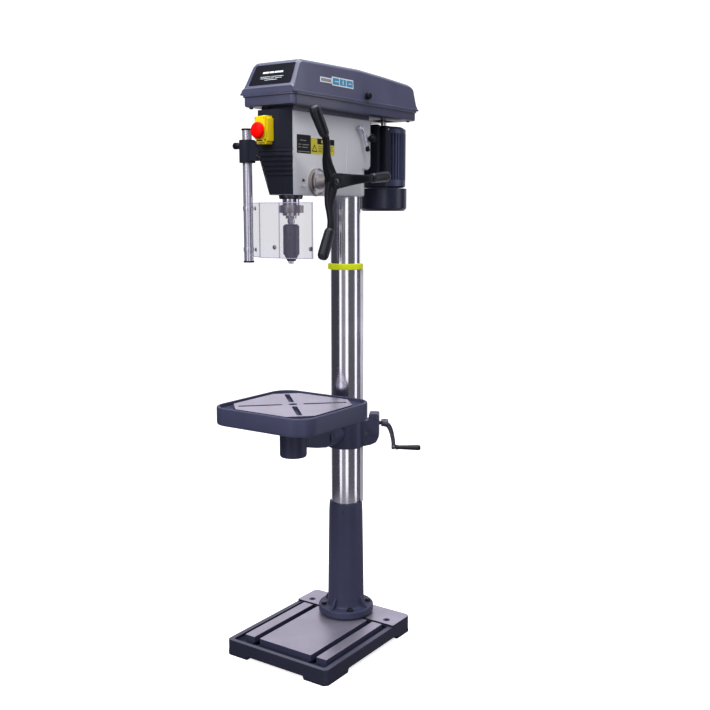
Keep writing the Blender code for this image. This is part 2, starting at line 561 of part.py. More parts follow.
def build_feed():
    """Feed pinion shaft, depth dial, three-arm hub, grips and return-spring cap."""
    at = (0, FEED_Y, FEED_Z)
    profile = [(0, 0.126), (0.009, 0.126), (0.009, 0.1045), (0.019, 0.1045), (0.0205, 0.0733), (0.009, 0.0733),
               (0.009, 0.0145), (PINION_R, 0.0145), (PINION_R, -0.0145), (0.009, -0.0145), (0.009, -0.074),
               (0, -0.074)]
    turned("feed_shaft", profile, "alloy", at=at, direction=(1, 0, 0))
    ring = [(0.0093, 0.0728), (0.030, 0.0728), (0.036, 0.070), (0.036, 0.0592), (0.0093, 0.0592)]
    turned("depth_dial", ring, "black", at=at, direction=(1, 0, 0), steps=32, ring=True)
    ring = [(0.0093, 0.131), (0.017, 0.131), (0.024, 0.127), (0.024, HUB_X[0]), (0.0093, HUB_X[0])]
    hub = turned("feed_hub", ring, "black", at=at, direction=(1, 0, 0), ring=True)
    arms = []
    for k, angle in enumerate(ARM_ANGLES):
        out = Vector((0, -math.cos(angle), math.sin(angle)))
        side = Vector((0, math.sin(angle), math.cos(angle)))
        centre = Vector(at)
        sections = []
        for r, width, x0, x1 in ((0.006, 0.043, 0.1065, 0.1285), (0.055, 0.032, 0.112, 0.132),
                                 (0.105, 0.021, 0.133, 0.148), (0.138, 0.016, 0.143, 0.157)):
            p = centre + out * r
            sections.append([p + Vector((x0, 0, 0)) - side * width / 2, p + Vector((x1, 0, 0)) - side * width / 2,
                             p + Vector((x1, 0, 0)) + side * width / 2, p + Vector((x0, 0, 0)) + side * width / 2])
        arms.append(loft("arm", sections))
        mid = centre + Vector((GRIP_X, 0, 0))
        arms.append(rod("stud", mid + out * 0.130, mid + out * 0.215, 0.005, segments=12))
        length = GRIP_R1 - GRIP_R0
        grip = [(0, length), (0.008, length - 0.001), (0.0125, length - 0.006), (0.0142, length - 0.016),
                (0.0120, 0.010), (0.0100, 0), (0.0053, 0), (0.0053, 0.077), (0, 0.077)]
        turned(f"grip_{k + 1}", grip, "rubber", at=mid + out * GRIP_R0, direction=out, steps=16)
    join(hub, arms)
    combine(hub, [rod("cut_hub", (0.09, FEED_Y, FEED_Z), (0.128, FEED_Y, FEED_Z), 0.0093, segments=24)])
    cup = [(0, 0.086), (0.027, 0.086), (0.031, 0.082), (0.031, 0.059), (0.028, 0.059), (0.028, 0.082), (0, 0.082)]
    turned("return_spring_cap", cup, "black", at=at, direction=(-1, 0, 0))


# ---------------------------------------------------------------- belt drive

def stepped(radii, hub_r, low, high, bore):
    """Half outline of a stepped pulley with a hub above and below."""
    top = STEP_Z + STEP_H * len(radii)
    points = [(bore, high), (hub_r, high), (hub_r, top)]
    for k in reversed(range(len(radii))):
        points += [(radii[k], STEP_Z + STEP_H * (k + 1) - 0.0005), (radii[k], STEP_Z + STEP_H * k + 0.0005)]
    return points + [(hub_r, STEP_Z), (hub_r, low), (bore, low)]


def belt(name, a, b, z):
    """Closed belt round two pulleys given as y position and radius."""
    (ya, ra), (yb, rb) = a, b
    tilt = math.asin((rb - ra) / (yb - ya))

    def loop(grow):
        points = []
        for cy, r, start in ((yb, rb + grow, -tilt), (ya, ra + grow, math.pi - tilt)):
            sign = 1 if cy == yb else -1
            sweep = math.pi + 2 * tilt * sign
            begin = start if cy == yb else start + 2 * tilt
            for k in range(13):
                t = begin + sweep * k / 12
                points.append((r * math.cos(t), cy + r * math.sin(t)))
        return points

    inner, outer = loop(0.001), loop(0.009)
    bm = bmesh.new()
    rings = [[bm.verts.new((x, y, h)) for x, y in line]
             for line, h in ((inner, z - 0.005), (outer, z - 0.005), (outer, z + 0.005), (inner, z + 0.005))]
    count = len(inner)
    for k in range(4):
        low, high = rings[k], rings[(k + 1) % 4]
        for i in range(count):
            j = (i + 1) % count
            bm.faces.new((low[i], low[j], high[j], high[i]))
    place(name, bm, "rubber")


def build_drive():
    """Three stepped pulleys, the idler's carrier and two belts."""
    turned("spindle_pulley", stepped(SPINDLE_STEPS, 0.021, 1.520, 1.668, SPINDLE_R + GAP), "alloy",
           at=(0, SPINDLE_Y, 0), steps=24, ring=True)
    turned("idler_pulley", stepped(IDLER_STEPS, 0.014, 1.5985, 1.666, 0.0063), "alloy",
           at=(0, IDLER_Y, 0), steps=24, ring=True)
    turned("motor_pulley", stepped(MOTOR_STEPS, 0.016, 1.597, 1.668, 0.0098), "alloy",
           at=(0, MOTOR_Y, 0), steps=24, ring=True)
    carrier = prism("idler_arm", [(-0.014, -0.118), (0.014, -0.118), (0.014, -0.024), (-0.014, -0.024)],
                    1.5885, 1.5965, "dark_steel")
    join(carrier, [rod("idler_axle", (0, IDLER_Y, 1.592), (0, IDLER_Y, 1.668), 0.006),
                   rod("idler_pivot", (0, -0.105, 1.578), (0, -0.105, 1.600), 0.006)])
    belt("front_belt", (SPINDLE_Y, SPINDLE_STEPS[1]), (IDLER_Y, IDLER_STEPS[1]), STEP_Z + 1.5 * STEP_H)
    belt("rear_belt", (IDLER_Y, IDLER_STEPS[2]), (MOTOR_Y, MOTOR_STEPS[2]), STEP_Z + 2.5 * STEP_H)


def build_tray():
    """Belt tray with its mounting flange, pulley openings and outward lip."""
    z0, z1 = TRAY_Z
    y0, y1 = TRAY_Y
    tray = prism("belt_tray", rounded(TRAY_X, y0, y1, 0.014, 2), z0, z1, "paint")
    flange = box("tray_flange", (-0.054, -0.318, HEAD_Z[1] + GAP), (0.054, 0.044, z0 + 0.002))
    lip = prism("tray_lip", rounded(TRAY_X + LIP, y0 - LIP, y1 + LIP, 0.017, 2), z1 - 0.005, z1)
    join(tray, [flange, lip])
    wall = 0.004
    cuts = [prism("cut_tray", rounded(TRAY_X - wall, y0 + wall, y1 - wall, 0.010, 2), z0 + wall, z1 + 0.01),
            rod("cut_spindle_way", (0, SPINDLE_Y, 1.56), (0, SPINDLE_Y, 1.60), 0.0235, segments=24),
            rod("cut_pivot", (0, -0.105, 1.56), (0, -0.105, 1.60), 0.0063),
            box("cut_motor_way", (-0.026, 0.160, 1.57), (0.026, 0.236, 1.60))]
    combine(tray, cuts)


def lid_section(y, top, drop=0.0, z0=TRAY_Z[1] + GAP, lip=LIP):
    """Cross-section of the lid at one station, shrunk by a wall if asked."""
    a, z1 = TRAY_X - drop, z0 + 0.005
    edge = a - 0.0085 * min(1.0, (top - z1) / 0.08)
    return [(-a - lip, y, z0), (-a - lip, y, z1), (-a, y, z1 + 0.0005), (-edge, y, top - 0.008),
            (-edge + 0.010, y, top), (edge - 0.010, y, top), (edge, y, top - 0.008), (a, y, z1 + 0.0005),
            (a + lip, y, z1), (a + lip, y, z0)]


def build_lid():
    """Belt-guard lid, a shell hinged on the tray's left edge, and its catch knob."""
    y0, y1 = TRAY_Y
    stations = ((y0 - LIP, TRAY_Z[1] + 0.016), (y0 + 0.002, 1.634), (-0.320, 1.6975), (-0.306, 1.7025), (-0.040, LID_TOP),
                (0.099, 1.701), (0.236, 1.6925), (0.252, 1.686), (y1 - 0.002, 1.645), (y1 + LIP, TRAY_Z[1] + 0.016))
    lid = loft("belt_lid", [lid_section(y, top) for y, top in stations], "paint", at=(-TRAY_X - LIP, 0, TRAY_Z[1]))
    wall = 0.0035
    inner = ((y0 + 0.004, 1.632), (-0.317, 1.6935), (-0.304, 1.699), (-0.040, LID_TOP - wall),
             (0.099, 1.6975), (0.234, 1.689), (0.249, 1.683), (y1 - 0.006, 1.640))
    hollow = loft("cut_lid", [lid_section(y, top, wall, TRAY_Z[1] - 0.01, 0.0) for y, top in inner])
    hole = rod("cut_catch", (0.07, -0.020, 1.634), (0.10, -0.020, 1.634), 0.0045, segments=12)
    combine(lid, [hollow, hole])
    profile = [(0, 0.103), (0.008, 0.103), (0.010, 0.100), (0.010, 0.0905), (0.0042, 0.0895), (0.0042, 0.079), (0, 0.079)]
    turned("lid_catch", profile, "black", at=(0, -0.020, 1.634), direction=(1, 0, 0), steps=16)


# ---------------------------------------------------------------- motor

def build_motor():
    """Motor, its slide plate, shaft, fan cowl and terminal box."""
    z0, z1 = MOTOR_Z
    body = rod("motor_body", (0, MOTOR_Y, z0), (0, MOTOR_Y, z1), MOTOR_R + 0.004, "navy", at=(0, MOTOR_Y, 0), segments=28)
    saddle = box("saddle", (-0.040, 0.1103, 1.400), (0.040, 0.160, 1.556))
    join(body, [saddle])
    combine(body, [rod("cut_shaft", (0, MOTOR_Y, z0 - 0.01), (0, MOTOR_Y, z1 + 0.01), 0.0098)])
    plate = box("motor_plate", (-0.052, 0.096, 1.392), (0.052, 0.110, 1.566), "black", at=(0, 0.096, 0))
    bars = []
    for side in (-1, 1):
        x, z = side * SLIDE_BAR[0], SLIDE_BAR[1]
        bars.append(rod("slide_bar", (x, -0.045, z), (x, 0.100, z), 0.009))
    join(plate, bars)
    profile = [(0, 1.669), (0.0095, 1.669), (0.0095, 1.322), (0, 1.322)]
    turned("motor_shaft", profile, "steel", at=(0, MOTOR_Y, 0), steps=16)
    low, high = COWL_Z
    cup = [(0, low + 0.003), (COWL_R - 0.006, low + 0.003), (COWL_R - 0.003, low + 0.008), (COWL_R - 0.003, high),
           (COWL_R, high), (COWL_R, low + 0.006), (COWL_R - 0.006, low), (0, low)]
    turned("fan_cowl", cup, "navy", at=(0, MOTOR_Y, 0), steps=28)
    box("terminal_box", (0.0410, 0.1103, 1.398), (0.070, 0.1400, 1.562), "black")


def build_tension():
    """Belt tension lever and the knob that locks the motor slide."""
    at = Vector((0, -0.024, 1.545))
    profile = [(0, 0.074), (0.007, 0.073), (0.008, 0.066), (0.0052, 0.060), (0.0052, 0.041), (0, 0.041)]
    lever = turned("tension_lever", profile, "chrome", at=at, direction=(1, 0, 0), steps=16)
    route = [Vector(p) for p in ((0.068, -0.026, 1.547), (0.070, -0.012, 1.540), (0.070, -0.003, 1.525),
                                 (0.070, 0.006, 1.505), (0.072, 0.013, 1.480))]
    sections = []
    for i, p in enumerate(route):
        ahead = (route[min(i + 1, 4)] - route[max(i - 1, 0)]).normalized()
        u = ahead.cross(Vector((1, 0, 0))).normalized()
        v = ahead.cross(u)
        r = 0.0052 if i < 4 else 0.0062
        sections.append([p + (u * math.cos(t) + v * math.sin(t)) * r
                         for t in (math.tau * k / 8 for k in range(8))])
    join(lever, [loft("lever_bend", sections)])
    profile = [(0, 0.082), (0.009, 0.082), (0.011, 0.078), (0.011, 0.067), (0.007, 0.062), (0.0042, 0.060),
               (0.0042, 0.047), (0, 0.047)]
    turned("slide_lock_knob", profile, "black", at=(0, 0.034, 1.518), direction=(1, 0, 0), steps=16)


# ---------------------------------------------------------------- switch

def build_switch():
    """No-volt switch: base, hinged flap, mushroom stop and start button."""
    back = COVER_FRONT - GAP
    body = box("switch_box", (-0.0235, -0.384, 1.4825), (0.0235, back, 1.5555), "yellow")
    combine(body, [box("cut_well", (-0.0180, -0.40, 1.4885), (0.0180, -0.366, 1.5475)),
                   rod("cut_start", (0, -0.37, 1.5380), (0, -0.35925, 1.5380), 0.0083, segments=12)])
    profile = [(0, 0), (0.0075, 0), (0.0075, -0.010), (0, -0.010)]
    turned("start_button", profile, "green", at=(0, -0.3725, 1.5380), direction=(0, -1, 0), steps=12)
    flap = box("switch_flap", (-0.0215, -0.392, 1.4865), (0.0215, -0.3843, 1.5540), "yellow", at=(0, -0.3880, 1.5530))
    combine(flap, [rod("cut_mushroom", (0, -0.40, 1.5165), (0, -0.37, 1.5165), 0.0093)])
    profile = [(0, 0.026), (0.010, 0.0255), (0.0160, 0.023), (0.0185, 0.018), (0.0185, 0.0137), (0.009, 0.0125),
               (0.009, -0.002), (0, -0.002)]
    turned("stop_mushroom", profile, "red", at=(0, -0.384, 1.5165), direction=(0, -1, 0), steps=20)


# ---------------------------------------------------------------- guard

def build_guard():
    """Chuck guard: bracket on the head, sliding post, lock knob and folded clear shield."""
    x, y = POST
    bracket = box("guard_bracket", (-0.124, y - 0.013, 1.446), (-HEAD_X - GAP, y + 0.013, 1.499), "black")
    join(bracket, [rod("guard_clamp", (x, y, 1.441), (x, y, 1.504), 0.0225, segments=24)])
    combine(bracket, [rod("cut_post", (x, y, 1.42), (x, y, 1.52), POST_R + 0.0004, segments=24),
                      rod("cut_guard_knob", (x - 0.04, y, 1.489), (x, y, 1.489), 0.0042, segments=12)])
    z0, z1 = POST_Z
    profile = [(0, z1), (0.0155, z1), (0.0155, z1 - 0.004), (POST_R, z1 - 0.004), (POST_R, z0 + 0.004),
               (0.0155, z0 + 0.004), (0.0155, z0), (0, z0)]
    turned("guard_post", profile, "chrome", at=(x, y, 0), steps=24)
    profile = [(0, 0.048), (0.008, 0.048), (0.010, 0.045), (0.010, 0.034), (0.005, 0.026), (0.0039, 0.023),
               (0.0039, 0.0142), (0, 0.0142)]
    turned("guard_knob", profile, "black", at=(x, y, 1.489), direction=(-1, 0, 0), steps=16)
    z0, z1 = SHIELD_Z
    line = [(-0.1222, -0.284), (-0.066, -0.318), (-0.040, -0.336), (0.086, -0.322), (0.102, -0.296)]
    t = 0.0015
    sides = []
    for sign in (1, -1):
        row = []
        for i, p in enumerate(line):
            a = Vector(line[max(i - 1, 0)])
            b = Vector(line[min(i + 1, len(line) - 1)])
            d = (b - a).normalized()
            row.append((p[0] - sign * t * d.y, p[1] + sign * t * d.x))
        sides.append(row if sign == 1 else row[::-1])
    shield = prism("guard_shield", sides[0] + sides[1], z0, z1, "clear", at=(x, y, 0))
    ring = [(POST_R + 0.0004, 1.270), (0.0170, 1.270), (0.0170, 1.240), (POST_R + 0.0004, 1.240)]
    join(shield, [turned("shield_collar", ring, at=(x, y, 0), ring=True)])


clear_scene()
part_coll = make_collection(NAME)
tool_coll = make_collection("cutters")
build_base()
build_sleeve()
build_column()
build_rack()
build_bracket()
build_lift()
build_bracket_lock()
build_arm()
build_table()
build_head()
build_front_cover()
build_quill()
build_chuck()
build_feed()
build_drive()
build_tray()
build_lid()
build_motor()
build_tension()
build_switch()
build_guard()
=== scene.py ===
"""Visual scene of the floor-standing drill press: detailed pieces, finishes, studio and camera."""
import math

import bmesh
import bpy
from mathutils import Matrix, Vector


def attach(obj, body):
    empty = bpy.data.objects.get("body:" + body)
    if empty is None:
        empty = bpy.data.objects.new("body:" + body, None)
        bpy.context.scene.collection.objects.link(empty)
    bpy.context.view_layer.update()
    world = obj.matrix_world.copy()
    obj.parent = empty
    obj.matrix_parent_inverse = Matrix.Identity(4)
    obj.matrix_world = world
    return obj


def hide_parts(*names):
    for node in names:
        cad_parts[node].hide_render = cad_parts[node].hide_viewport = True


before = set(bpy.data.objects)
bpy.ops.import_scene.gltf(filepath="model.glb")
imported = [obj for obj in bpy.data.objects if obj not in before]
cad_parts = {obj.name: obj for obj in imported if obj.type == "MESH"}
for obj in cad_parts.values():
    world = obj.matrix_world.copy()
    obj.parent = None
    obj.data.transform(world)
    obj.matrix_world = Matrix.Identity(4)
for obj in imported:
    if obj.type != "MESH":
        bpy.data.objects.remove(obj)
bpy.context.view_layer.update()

# Driving dimensions of the solid model, in metres
COLUMN_R, BORE_R, COLUMN_TOP = 0.045, 0.0453, 1.500
BASE_HALF, BASE_FRONT, BASE_REAR, BASE_H = 0.185, -0.360, 0.089, 0.046
PAD_TOP, CHANNEL_Z, SEAT_R, SEAT_TOP = 0.052, 0.034, 0.076, 0.060
SLEEVE_TOP, FLANGE_R, FLANGE_TOP, BOLT_R = 0.415, 0.086, 0.080, 0.070
RACK_ANGLE, RACK_R = math.radians(30), 0.054
COLLAR_LOW, COLLAR_HIGH = 1.135, 1.153
BRACKET_LOW, BRACKET_HIGH, BRACKET_R = 0.590, 0.675, 0.057
LIFT_R, LIFT_Z, CRANK_Z, CRANK_SIDE, CRANK_SWING = 0.065, 0.634, 0.661, 0.014, 0.077
CLAMP_ANGLE = math.radians(150)
SPINDLE_Y, TILT_Z, ARM_R = -0.262, 0.6385, 0.039
TABLE_HALF, TABLE_CORNER, TABLE_LOW, TABLE_TOP = 0.170, 0.060, 0.716, 0.766
HEAD_X, HEAD_LOW, HEAD_TOP, HEAD_FRONT, HEAD_REAR, NECK_TOP = 0.0587, 1.351, 1.573, -0.327, 0.049, 1.428
COVER_FRONT, TAPER_TOP, TAPER_HALF, TAPER_FRONT = -0.358, 1.456, 0.0415, -0.3035
QUILL_R, SPINDLE_R, CHUCK_R = 0.0235, 0.0125, 0.0225
FEED = Vector((0, -0.226, 1.387))
GRIP_X, GRIP_R0, GRIP_R1 = 0.150, 0.140, 0.228
ARM_ANGLES = [math.radians(a) for a in (55, 175, 295)]
TRAY_X, TRAY_FRONT, TRAY_REAR, TRAY_LOW, TRAY_TOP, LIP = 0.088, -0.356, 0.262, 1.584, 1.614, 0.004
MOTOR_Y, IDLER_Y, STEP_H, STEP_Z = 0.208, -0.038, 0.016, 1.600
SPINDLE_STEPS = (0.058, 0.050, 0.042, 0.034)
IDLER_STEPS = (0.030, 0.038, 0.046, 0.054)
MOTOR_STEPS = (0.046, 0.038, 0.030, 0.022)
COWL_R, MOTOR_LOW, MOTOR_TOP, COWL_LOW, COWL_TOP = 0.0735, 1.380, 1.566, 1.308, 1.3777
POST, POST_R, POST_LOW, POST_TOP = (-0.137, -0.283), 0.0135, 1.163, 1.535
SHIELD_LOW, SHIELD_HIGH = 1.180, 1.331
STOP_Z, START_Z = 1.5165, 1.538
SWITCH_HALF, FLAP_HALF, FLAP_FACE = 0.0198, 0.0175, 0.3918
ANCHOR_X, ANCHOR_Y, ANCHOR_R = 0.144, 0.014, 0.006
CATCH_Y, CATCH_Z = -0.020, 1.634
LEVER_Y, LEVER_Z = -0.024, 1.545
KNOB_Y, KNOB_Z = 0.034, 1.518
SLIDE_X, SLIDE_Z = 0.030, 1.535
GUARD_KNOB_Z, CLAMP_LOW, CLAMP_HIGH = 1.489, 1.446, 1.499
LABEL_Z, LABEL_THICK, PRINT_THICK = 1.4615, 0.0005, 0.0002
TABLE_LOCK_Z = 0.700
PAD_FRONT, PAD_REAR, PLATFORM_FRONT = -0.312, -0.022, -0.0115
GRAIN_DEPTH, ROD_EDGE, SWEEP_FINE = 0.0002, 0.0006, 4

X, Y, Z = Vector((1, 0, 0)), Vector((0, 1, 0)), Vector((0, 0, 1))
LOOKS, SLOTS = {}, {}


# ---------------------------------------------------------------- finishes

def finish_look(name, colour, rough, metal=0.0, stretch=(1, 1, 1), grain=900, bump=0.10, mottle=0.06,
                coat=0.0, patch=9, spread=0.10, alpha=1.0, spec=0.5):
    """A procedural finish: patchy colour, uneven gloss and a fine surface grain."""
    mat = bpy.data.materials.new(name)
    mat.use_nodes = True
    tree = mat.node_tree
    bsdf = tree.nodes["Principled BSDF"]
    new, link = tree.nodes.new, tree.links.new
    coord = new("ShaderNodeTexCoord")
    mapping = new("ShaderNodeMapping")
    mapping.inputs["Scale"].default_value = stretch
    link(coord.outputs["Object"], mapping.inputs["Vector"])
    fine = new("ShaderNodeTexNoise")
    fine.inputs["Scale"].default_value = grain
    fine.inputs["Detail"].default_value = 3
    link(mapping.outputs["Vector"], fine.inputs["Vector"])
    wide = new("ShaderNodeTexNoise")
    wide.inputs["Scale"].default_value = patch
    wide.inputs["Detail"].default_value = 5
    link(coord.outputs["Object"], wide.inputs["Vector"])
    blend = new("ShaderNodeMix")
    blend.data_type = "RGBA"
    dark = [c * (1 - mottle * 2) for c in colour]
    light = [min(1, c * (1 + mottle)) for c in colour]
    blend.inputs["A"].default_value = (*dark, 1)
    blend.inputs["B"].default_value = (*light, 1)
    both = new("ShaderNodeMath")
    both.operation = "MULTIPLY_ADD"
    link(fine.outputs["Fac"], both.inputs[0])
    both.inputs[1].default_value = 0.45
    link(wide.outputs["Fac"], both.inputs[2])
    level = new("ShaderNodeMapRange")
    level.inputs["From Min"].default_value = 0.45
    level.inputs["From Max"].default_value = 1.0
    link(both.outputs[0], level.inputs["Value"])
    link(level.outputs[0], blend.inputs["Factor"])
    link(blend.outputs["Result"], bsdf.inputs["Base Color"])
    gloss = new("ShaderNodeMapRange")
    gloss.inputs["From Min"].default_value = 0.3
    gloss.inputs["From Max"].default_value = 1.1
    gloss.inputs["To Min"].default_value = max(0.02, rough - spread)
    gloss.inputs["To Max"].default_value = min(1.0, rough + spread)
    link(both.outputs[0], gloss.inputs["Value"])
    link(gloss.outputs[0], bsdf.inputs["Roughness"])
    relief = new("ShaderNodeBump")
    relief.inputs["Strength"].default_value = bump
    relief.inputs["Distance"].default_value = GRAIN_DEPTH
    link(fine.outputs["Fac"], relief.inputs["Height"])
    link(relief.outputs["Normal"], bsdf.inputs["Normal"])
    bsdf.inputs["Metallic"].default_value = metal
    bsdf.inputs["Coat Weight"].default_value = coat
    bsdf.inputs["Coat Roughness"].default_value = 0.12
    bsdf.inputs["Alpha"].default_value = alpha
    bsdf.inputs["Specular IOR Level"].default_value = spec
    mat.diffuse_color = (*colour, 1)
    LOOKS[name] = mat
    return mat


def make_looks():
    """Every finish of the machine, with the record slot it belongs to."""
    table = (("paint", "paint", dict(colour=(0.056, 0.059, 0.108), rough=0.36, grain=700, bump=0.20,
                                     coat=0.15, spec=0.4)), ("paint_low_shaded", "paint",
        # The same paint darkened a little as painted shade for the lower castings, and made less glossy.
        dict(colour=(0.048, 0.051, 0.098), rough=0.40, grain=700, bump=0.22, spec=0.20)),
             # The same paint darkened to about a third as painted shade for the low, downward-facing base.
             ("paint_base_shaded", "paint", dict(colour=(0.017, 0.019, 0.037), rough=0.38, grain=700, bump=0.22,
                                          spec=0.20)), ("casting", "casting",
        dict(colour=(0.60, 0.60, 0.63), rough=0.44, grain=620, bump=0.25, coat=0.2, mottle=0.03)),
             ("black", "black", dict(colour=(0.0160, 0.0175, 0.0270), rough=0.42, grain=1100, bump=0.12,
                                     spec=0.05)), ("satin_black", "black",
                                                   dict(colour=(0.0065, 0.0070, 0.0110), rough=0.30,
        grain=1500, bump=0.06, spec=0.10)), ("rubber", "rubber",
                                             dict(colour=(0.0065, 0.0080, 0.0130), rough=0.30, grain=1300,
                                                  bump=0.08, spec=0.30)), ("belt", "belt",
        dict(colour=(0.016, 0.015, 0.015), rough=0.70, grain=1500, bump=0.4)),
             ("navy", "navy", dict(colour=(0.038, 0.044, 0.098), rough=0.36, grain=600, bump=0.22,
                                   coat=0.1, spec=0.35)), ("cowl", "navy",
        dict(colour=(0.012, 0.014, 0.036), rough=0.34, grain=600, bump=0.18, coat=0.1, spec=0.35)),
             ("steel", "steel", dict(colour=(0.66, 0.65, 0.70), rough=0.15, metal=1,
                                     stretch=(0.02, 0.02, 1.6), grain=900, bump=0.06, mottle=0.05,
                                     spread=0.05)), ("rack_steel", "steel",
        dict(colour=(0.62, 0.62, 0.66), rough=0.40, metal=0.5, grain=700, bump=0.15, mottle=0.08)),
             ("ground_x", "steel", dict(colour=(0.58, 0.57, 0.60), rough=0.24, metal=1,
                                        stretch=(1.6, 0.02, 0.02), grain=900, bump=0.10, spread=0.07)),
             # Ground finish for the pads and the table face; on the painted rear platform's top it is a
             # painted highlight.
             ("machined", "machined", dict(colour=(0.50, 0.47, 0.56), rough=0.36, metal=0.75,
                                           stretch=(1.3, 0.03, 0.03), grain=900, bump=0.30, mottle=0.08,
                                           patch=14)), ("rim_top_highlight", "machined",
        # A lighter, metal-like finish for the top faces of the base rim: a painted highlight.
        dict(colour=(0.10, 0.10, 0.15), rough=0.40, metal=0.4, grain=900, bump=0.20, mottle=0.08,
             patch=14)), ("chrome", "chrome", dict(colour=(0.54, 0.53, 0.62), rough=0.24, metal=0.75,
                                                   grain=700, bump=0.01, mottle=0.03, spread=0.04)),
             ("dark_steel", "dark_steel", dict(colour=(0.075, 0.075, 0.095), rough=0.32, metal=0.9,
                                               grain=1200, bump=0.12, mottle=0.12)),
             ("lime", "lime", dict(colour=(0.82, 0.94, 0.006), rough=0.45, grain=900, bump=0.10,
                                   mottle=0.04, spec=0.15)),
             ("yellow", "yellow", dict(colour=(0.80, 0.60, 0.001), rough=0.38, grain=900, bump=0.12,
                                       mottle=0.03, spec=0.2)), ("red", "red",
        dict(colour=(0.92, 0.001, 0.0005), rough=0.40, grain=900, bump=0.08, mottle=0.03, spec=0.06)),
             ("green", "green", dict(colour=(0.03, 0.36, 0.08), rough=0.36, grain=900, bump=0.10,
                                     mottle=0.04)), ("clear", "clear",
        dict(colour=(0.14, 0.13, 0.19), rough=0.10, grain=60, bump=0.03, mottle=0.03, spread=0.04,
             # A lighter, less clear finish for the shield's hems and folds; on the bend rod it is a painted
             # highlight.
             alpha=0.25)), ("clear_edge_and_glint", "clear", dict(colour=(0.50, 0.47, 0.66), rough=0.14, grain=90,
        bump=0.05, mottle=0.03, alpha=0.6)), ("alloy", "alloy",
                                              dict(colour=(0.36, 0.33, 0.32), rough=0.30, metal=0.95,
                                                   stretch=(1.2, 1.2, 1.2), grain=1100, bump=0.16,
                                                   mottle=0.10)), ("label_white", "casting",
        dict(colour=(0.62, 0.65, 0.70), rough=0.45, grain=900, bump=0.04, mottle=0.02)),
             ("label_grey", "casting", dict(colour=(0.20, 0.20, 0.19), rough=0.45, grain=900, bump=0.04,
                                            mottle=0.02)), ("label_blue", "navy",
        dict(colour=(0.025, 0.20, 0.34), rough=0.40, grain=900, bump=0.04, mottle=0.03)),
             ("label_yellow", "yellow", dict(colour=(0.56, 0.48, 0.012), rough=0.45, grain=900, bump=0.04,
                                             mottle=0.03)), )
    for name, slot, values in table:
        finish_look(name, **values)
        SLOTS[name] = slot


# ---------------------------------------------------------------- shape builders

def soften(points, radius, closed=True, steps=4):
    """Round an outline's corners; a third value in a point is its own radius."""
    out, count = [], len(points)
    for i, p in enumerate(points):
        r = p[2] if len(p) > 2 else radius
        c = Vector(p[:2])
        if r <= 0 or (not closed and i in (0, count - 1)):
            out.append(c)
            continue
        a, b = Vector(points[i - 1][:2]) - c, Vector(points[(i + 1) % count][:2]) - c
        cut = min(r * math.tan((math.pi - a.angle(b)) / 2), 0.48 * a.length, 0.48 * b.length)
        if cut < 1e-6:
            out.append(c)
            continue
        s, e = c + a.normalized() * cut, c + b.normalized() * cut
        for k in range(steps + 1):
            t = k / steps
            out.append(s * (1 - t) ** 2 + c * 2 * t * (1 - t) + e * t * t)
    return out


def towards(axis, at=(0, 0, 0)):
    """Matrix taking local +Z to a direction, at a point."""
    return Matrix.Translation(at) @ Z.rotation_difference(Vector(axis)).to_matrix().to_4x4()


def radial(angle):
    """Frame whose local X is the radius at an angle, local Y is up and local Z the tangent reversed."""
    return Matrix.Rotation(angle, 4, "Z") @ Matrix.Rotation(math.pi / 2, 4, "X")


def side_frame():
    """Frame whose local X is world Y, local Y is world Z and local Z is world X."""
    return Matrix.Rotation(math.pi / 2, 4, "Z") @ Matrix.Rotation(math.pi / 2, 4, "X")


def polar(r, angle, z=0.0):
    """Point at a radius and angle about the column."""
    return Vector((r * math.cos(angle), r * math.sin(angle), z))


def lathe(points, at=(0, 0, 0), axis=(0, 0, 1), r=0.0008, steps=72, ring=False, wave=None):
    """A turned solid from radius and height pairs; wave(angle, height) scales its radius."""
    bm, rows = bmesh.new(), []
    for p in soften(points, r, ring, 3):
        if p.x < 1e-7:
            rows.append([bm.verts.new((0, 0, p.y))])
            continue
        row = []
        for k in range(steps):
            a = math.tau * k / steps
            d = p.x * (wave(a, p.y) if wave else 1)
            row.append(bm.verts.new((d * math.cos(a), d * math.sin(a), p.y)))
        rows.append(row)
    pairs = list(zip(rows, rows[1:])) + ([(rows[-1], rows[0])] if ring else [])
    for low, high in pairs:
        for k in range(steps):
            j = (k + 1) % steps
            if len(low) == 1 and len(high) > 1:
                bm.faces.new((low[0], high[k], high[j]))
            elif len(high) == 1 and len(low) > 1:
                bm.faces.new((low[k], low[j], high[0]))
            elif len(low) > 1:
                bm.faces.new((low[k], low[j], high[j], high[k]))
    if not ring:
        for row in (rows[0], rows[-1]):
            if len(row) > 1:
                bm.faces.new(row)
    bmesh.ops.transform(bm, verts=bm.verts, matrix=towards(axis, at))
    return bm


def prism(outline, low, high, matrix=None):
    """A flat outline pushed from one height to another."""
    return loft([[(*p[:2], h) for p in outline] for h in (low, high)], matrix)


def loft(sections, matrix=None):
    """A solid through closed sections with equal point counts."""
    bm = bmesh.new()
    rows = [[bm.verts.new(p) for p in section] for section in sections]
    count = len(rows[0])
    for low, high in zip(rows, rows[1:]):
        for i in range(count):
            j = (i + 1) % count
            bm.faces.new((low[i], low[j], high[j], high[i]))
    bm.faces.new(rows[0])
    bm.faces.new(rows[-1])
    if matrix is not None:
        bmesh.ops.transform(bm, verts=bm.verts, matrix=matrix)
    return bm


def block(low, high, turn=None):
    """A block between two corners, turned about the column if asked."""
    (x0, y0, z0), (x1, y1, z1) = low, high
    bm = prism([(x0, y0), (x1, y0), (x1, y1), (x0, y1)], z0, z1)
    if turn is not None:
        bmesh.ops.rotate(bm, verts=bm.verts, cent=(0, 0, 0), matrix=Matrix.Rotation(turn, 3, "Z"))
    return bm


def rod(start, end, r, steps=32):
    """A round bar between two points."""
    start, end = Vector(start), Vector(end)
    size = (end - start).length
    return lathe([(0, 0), (r, 0), (r, size), (0, size)], start, end - start, ROD_EDGE, steps)


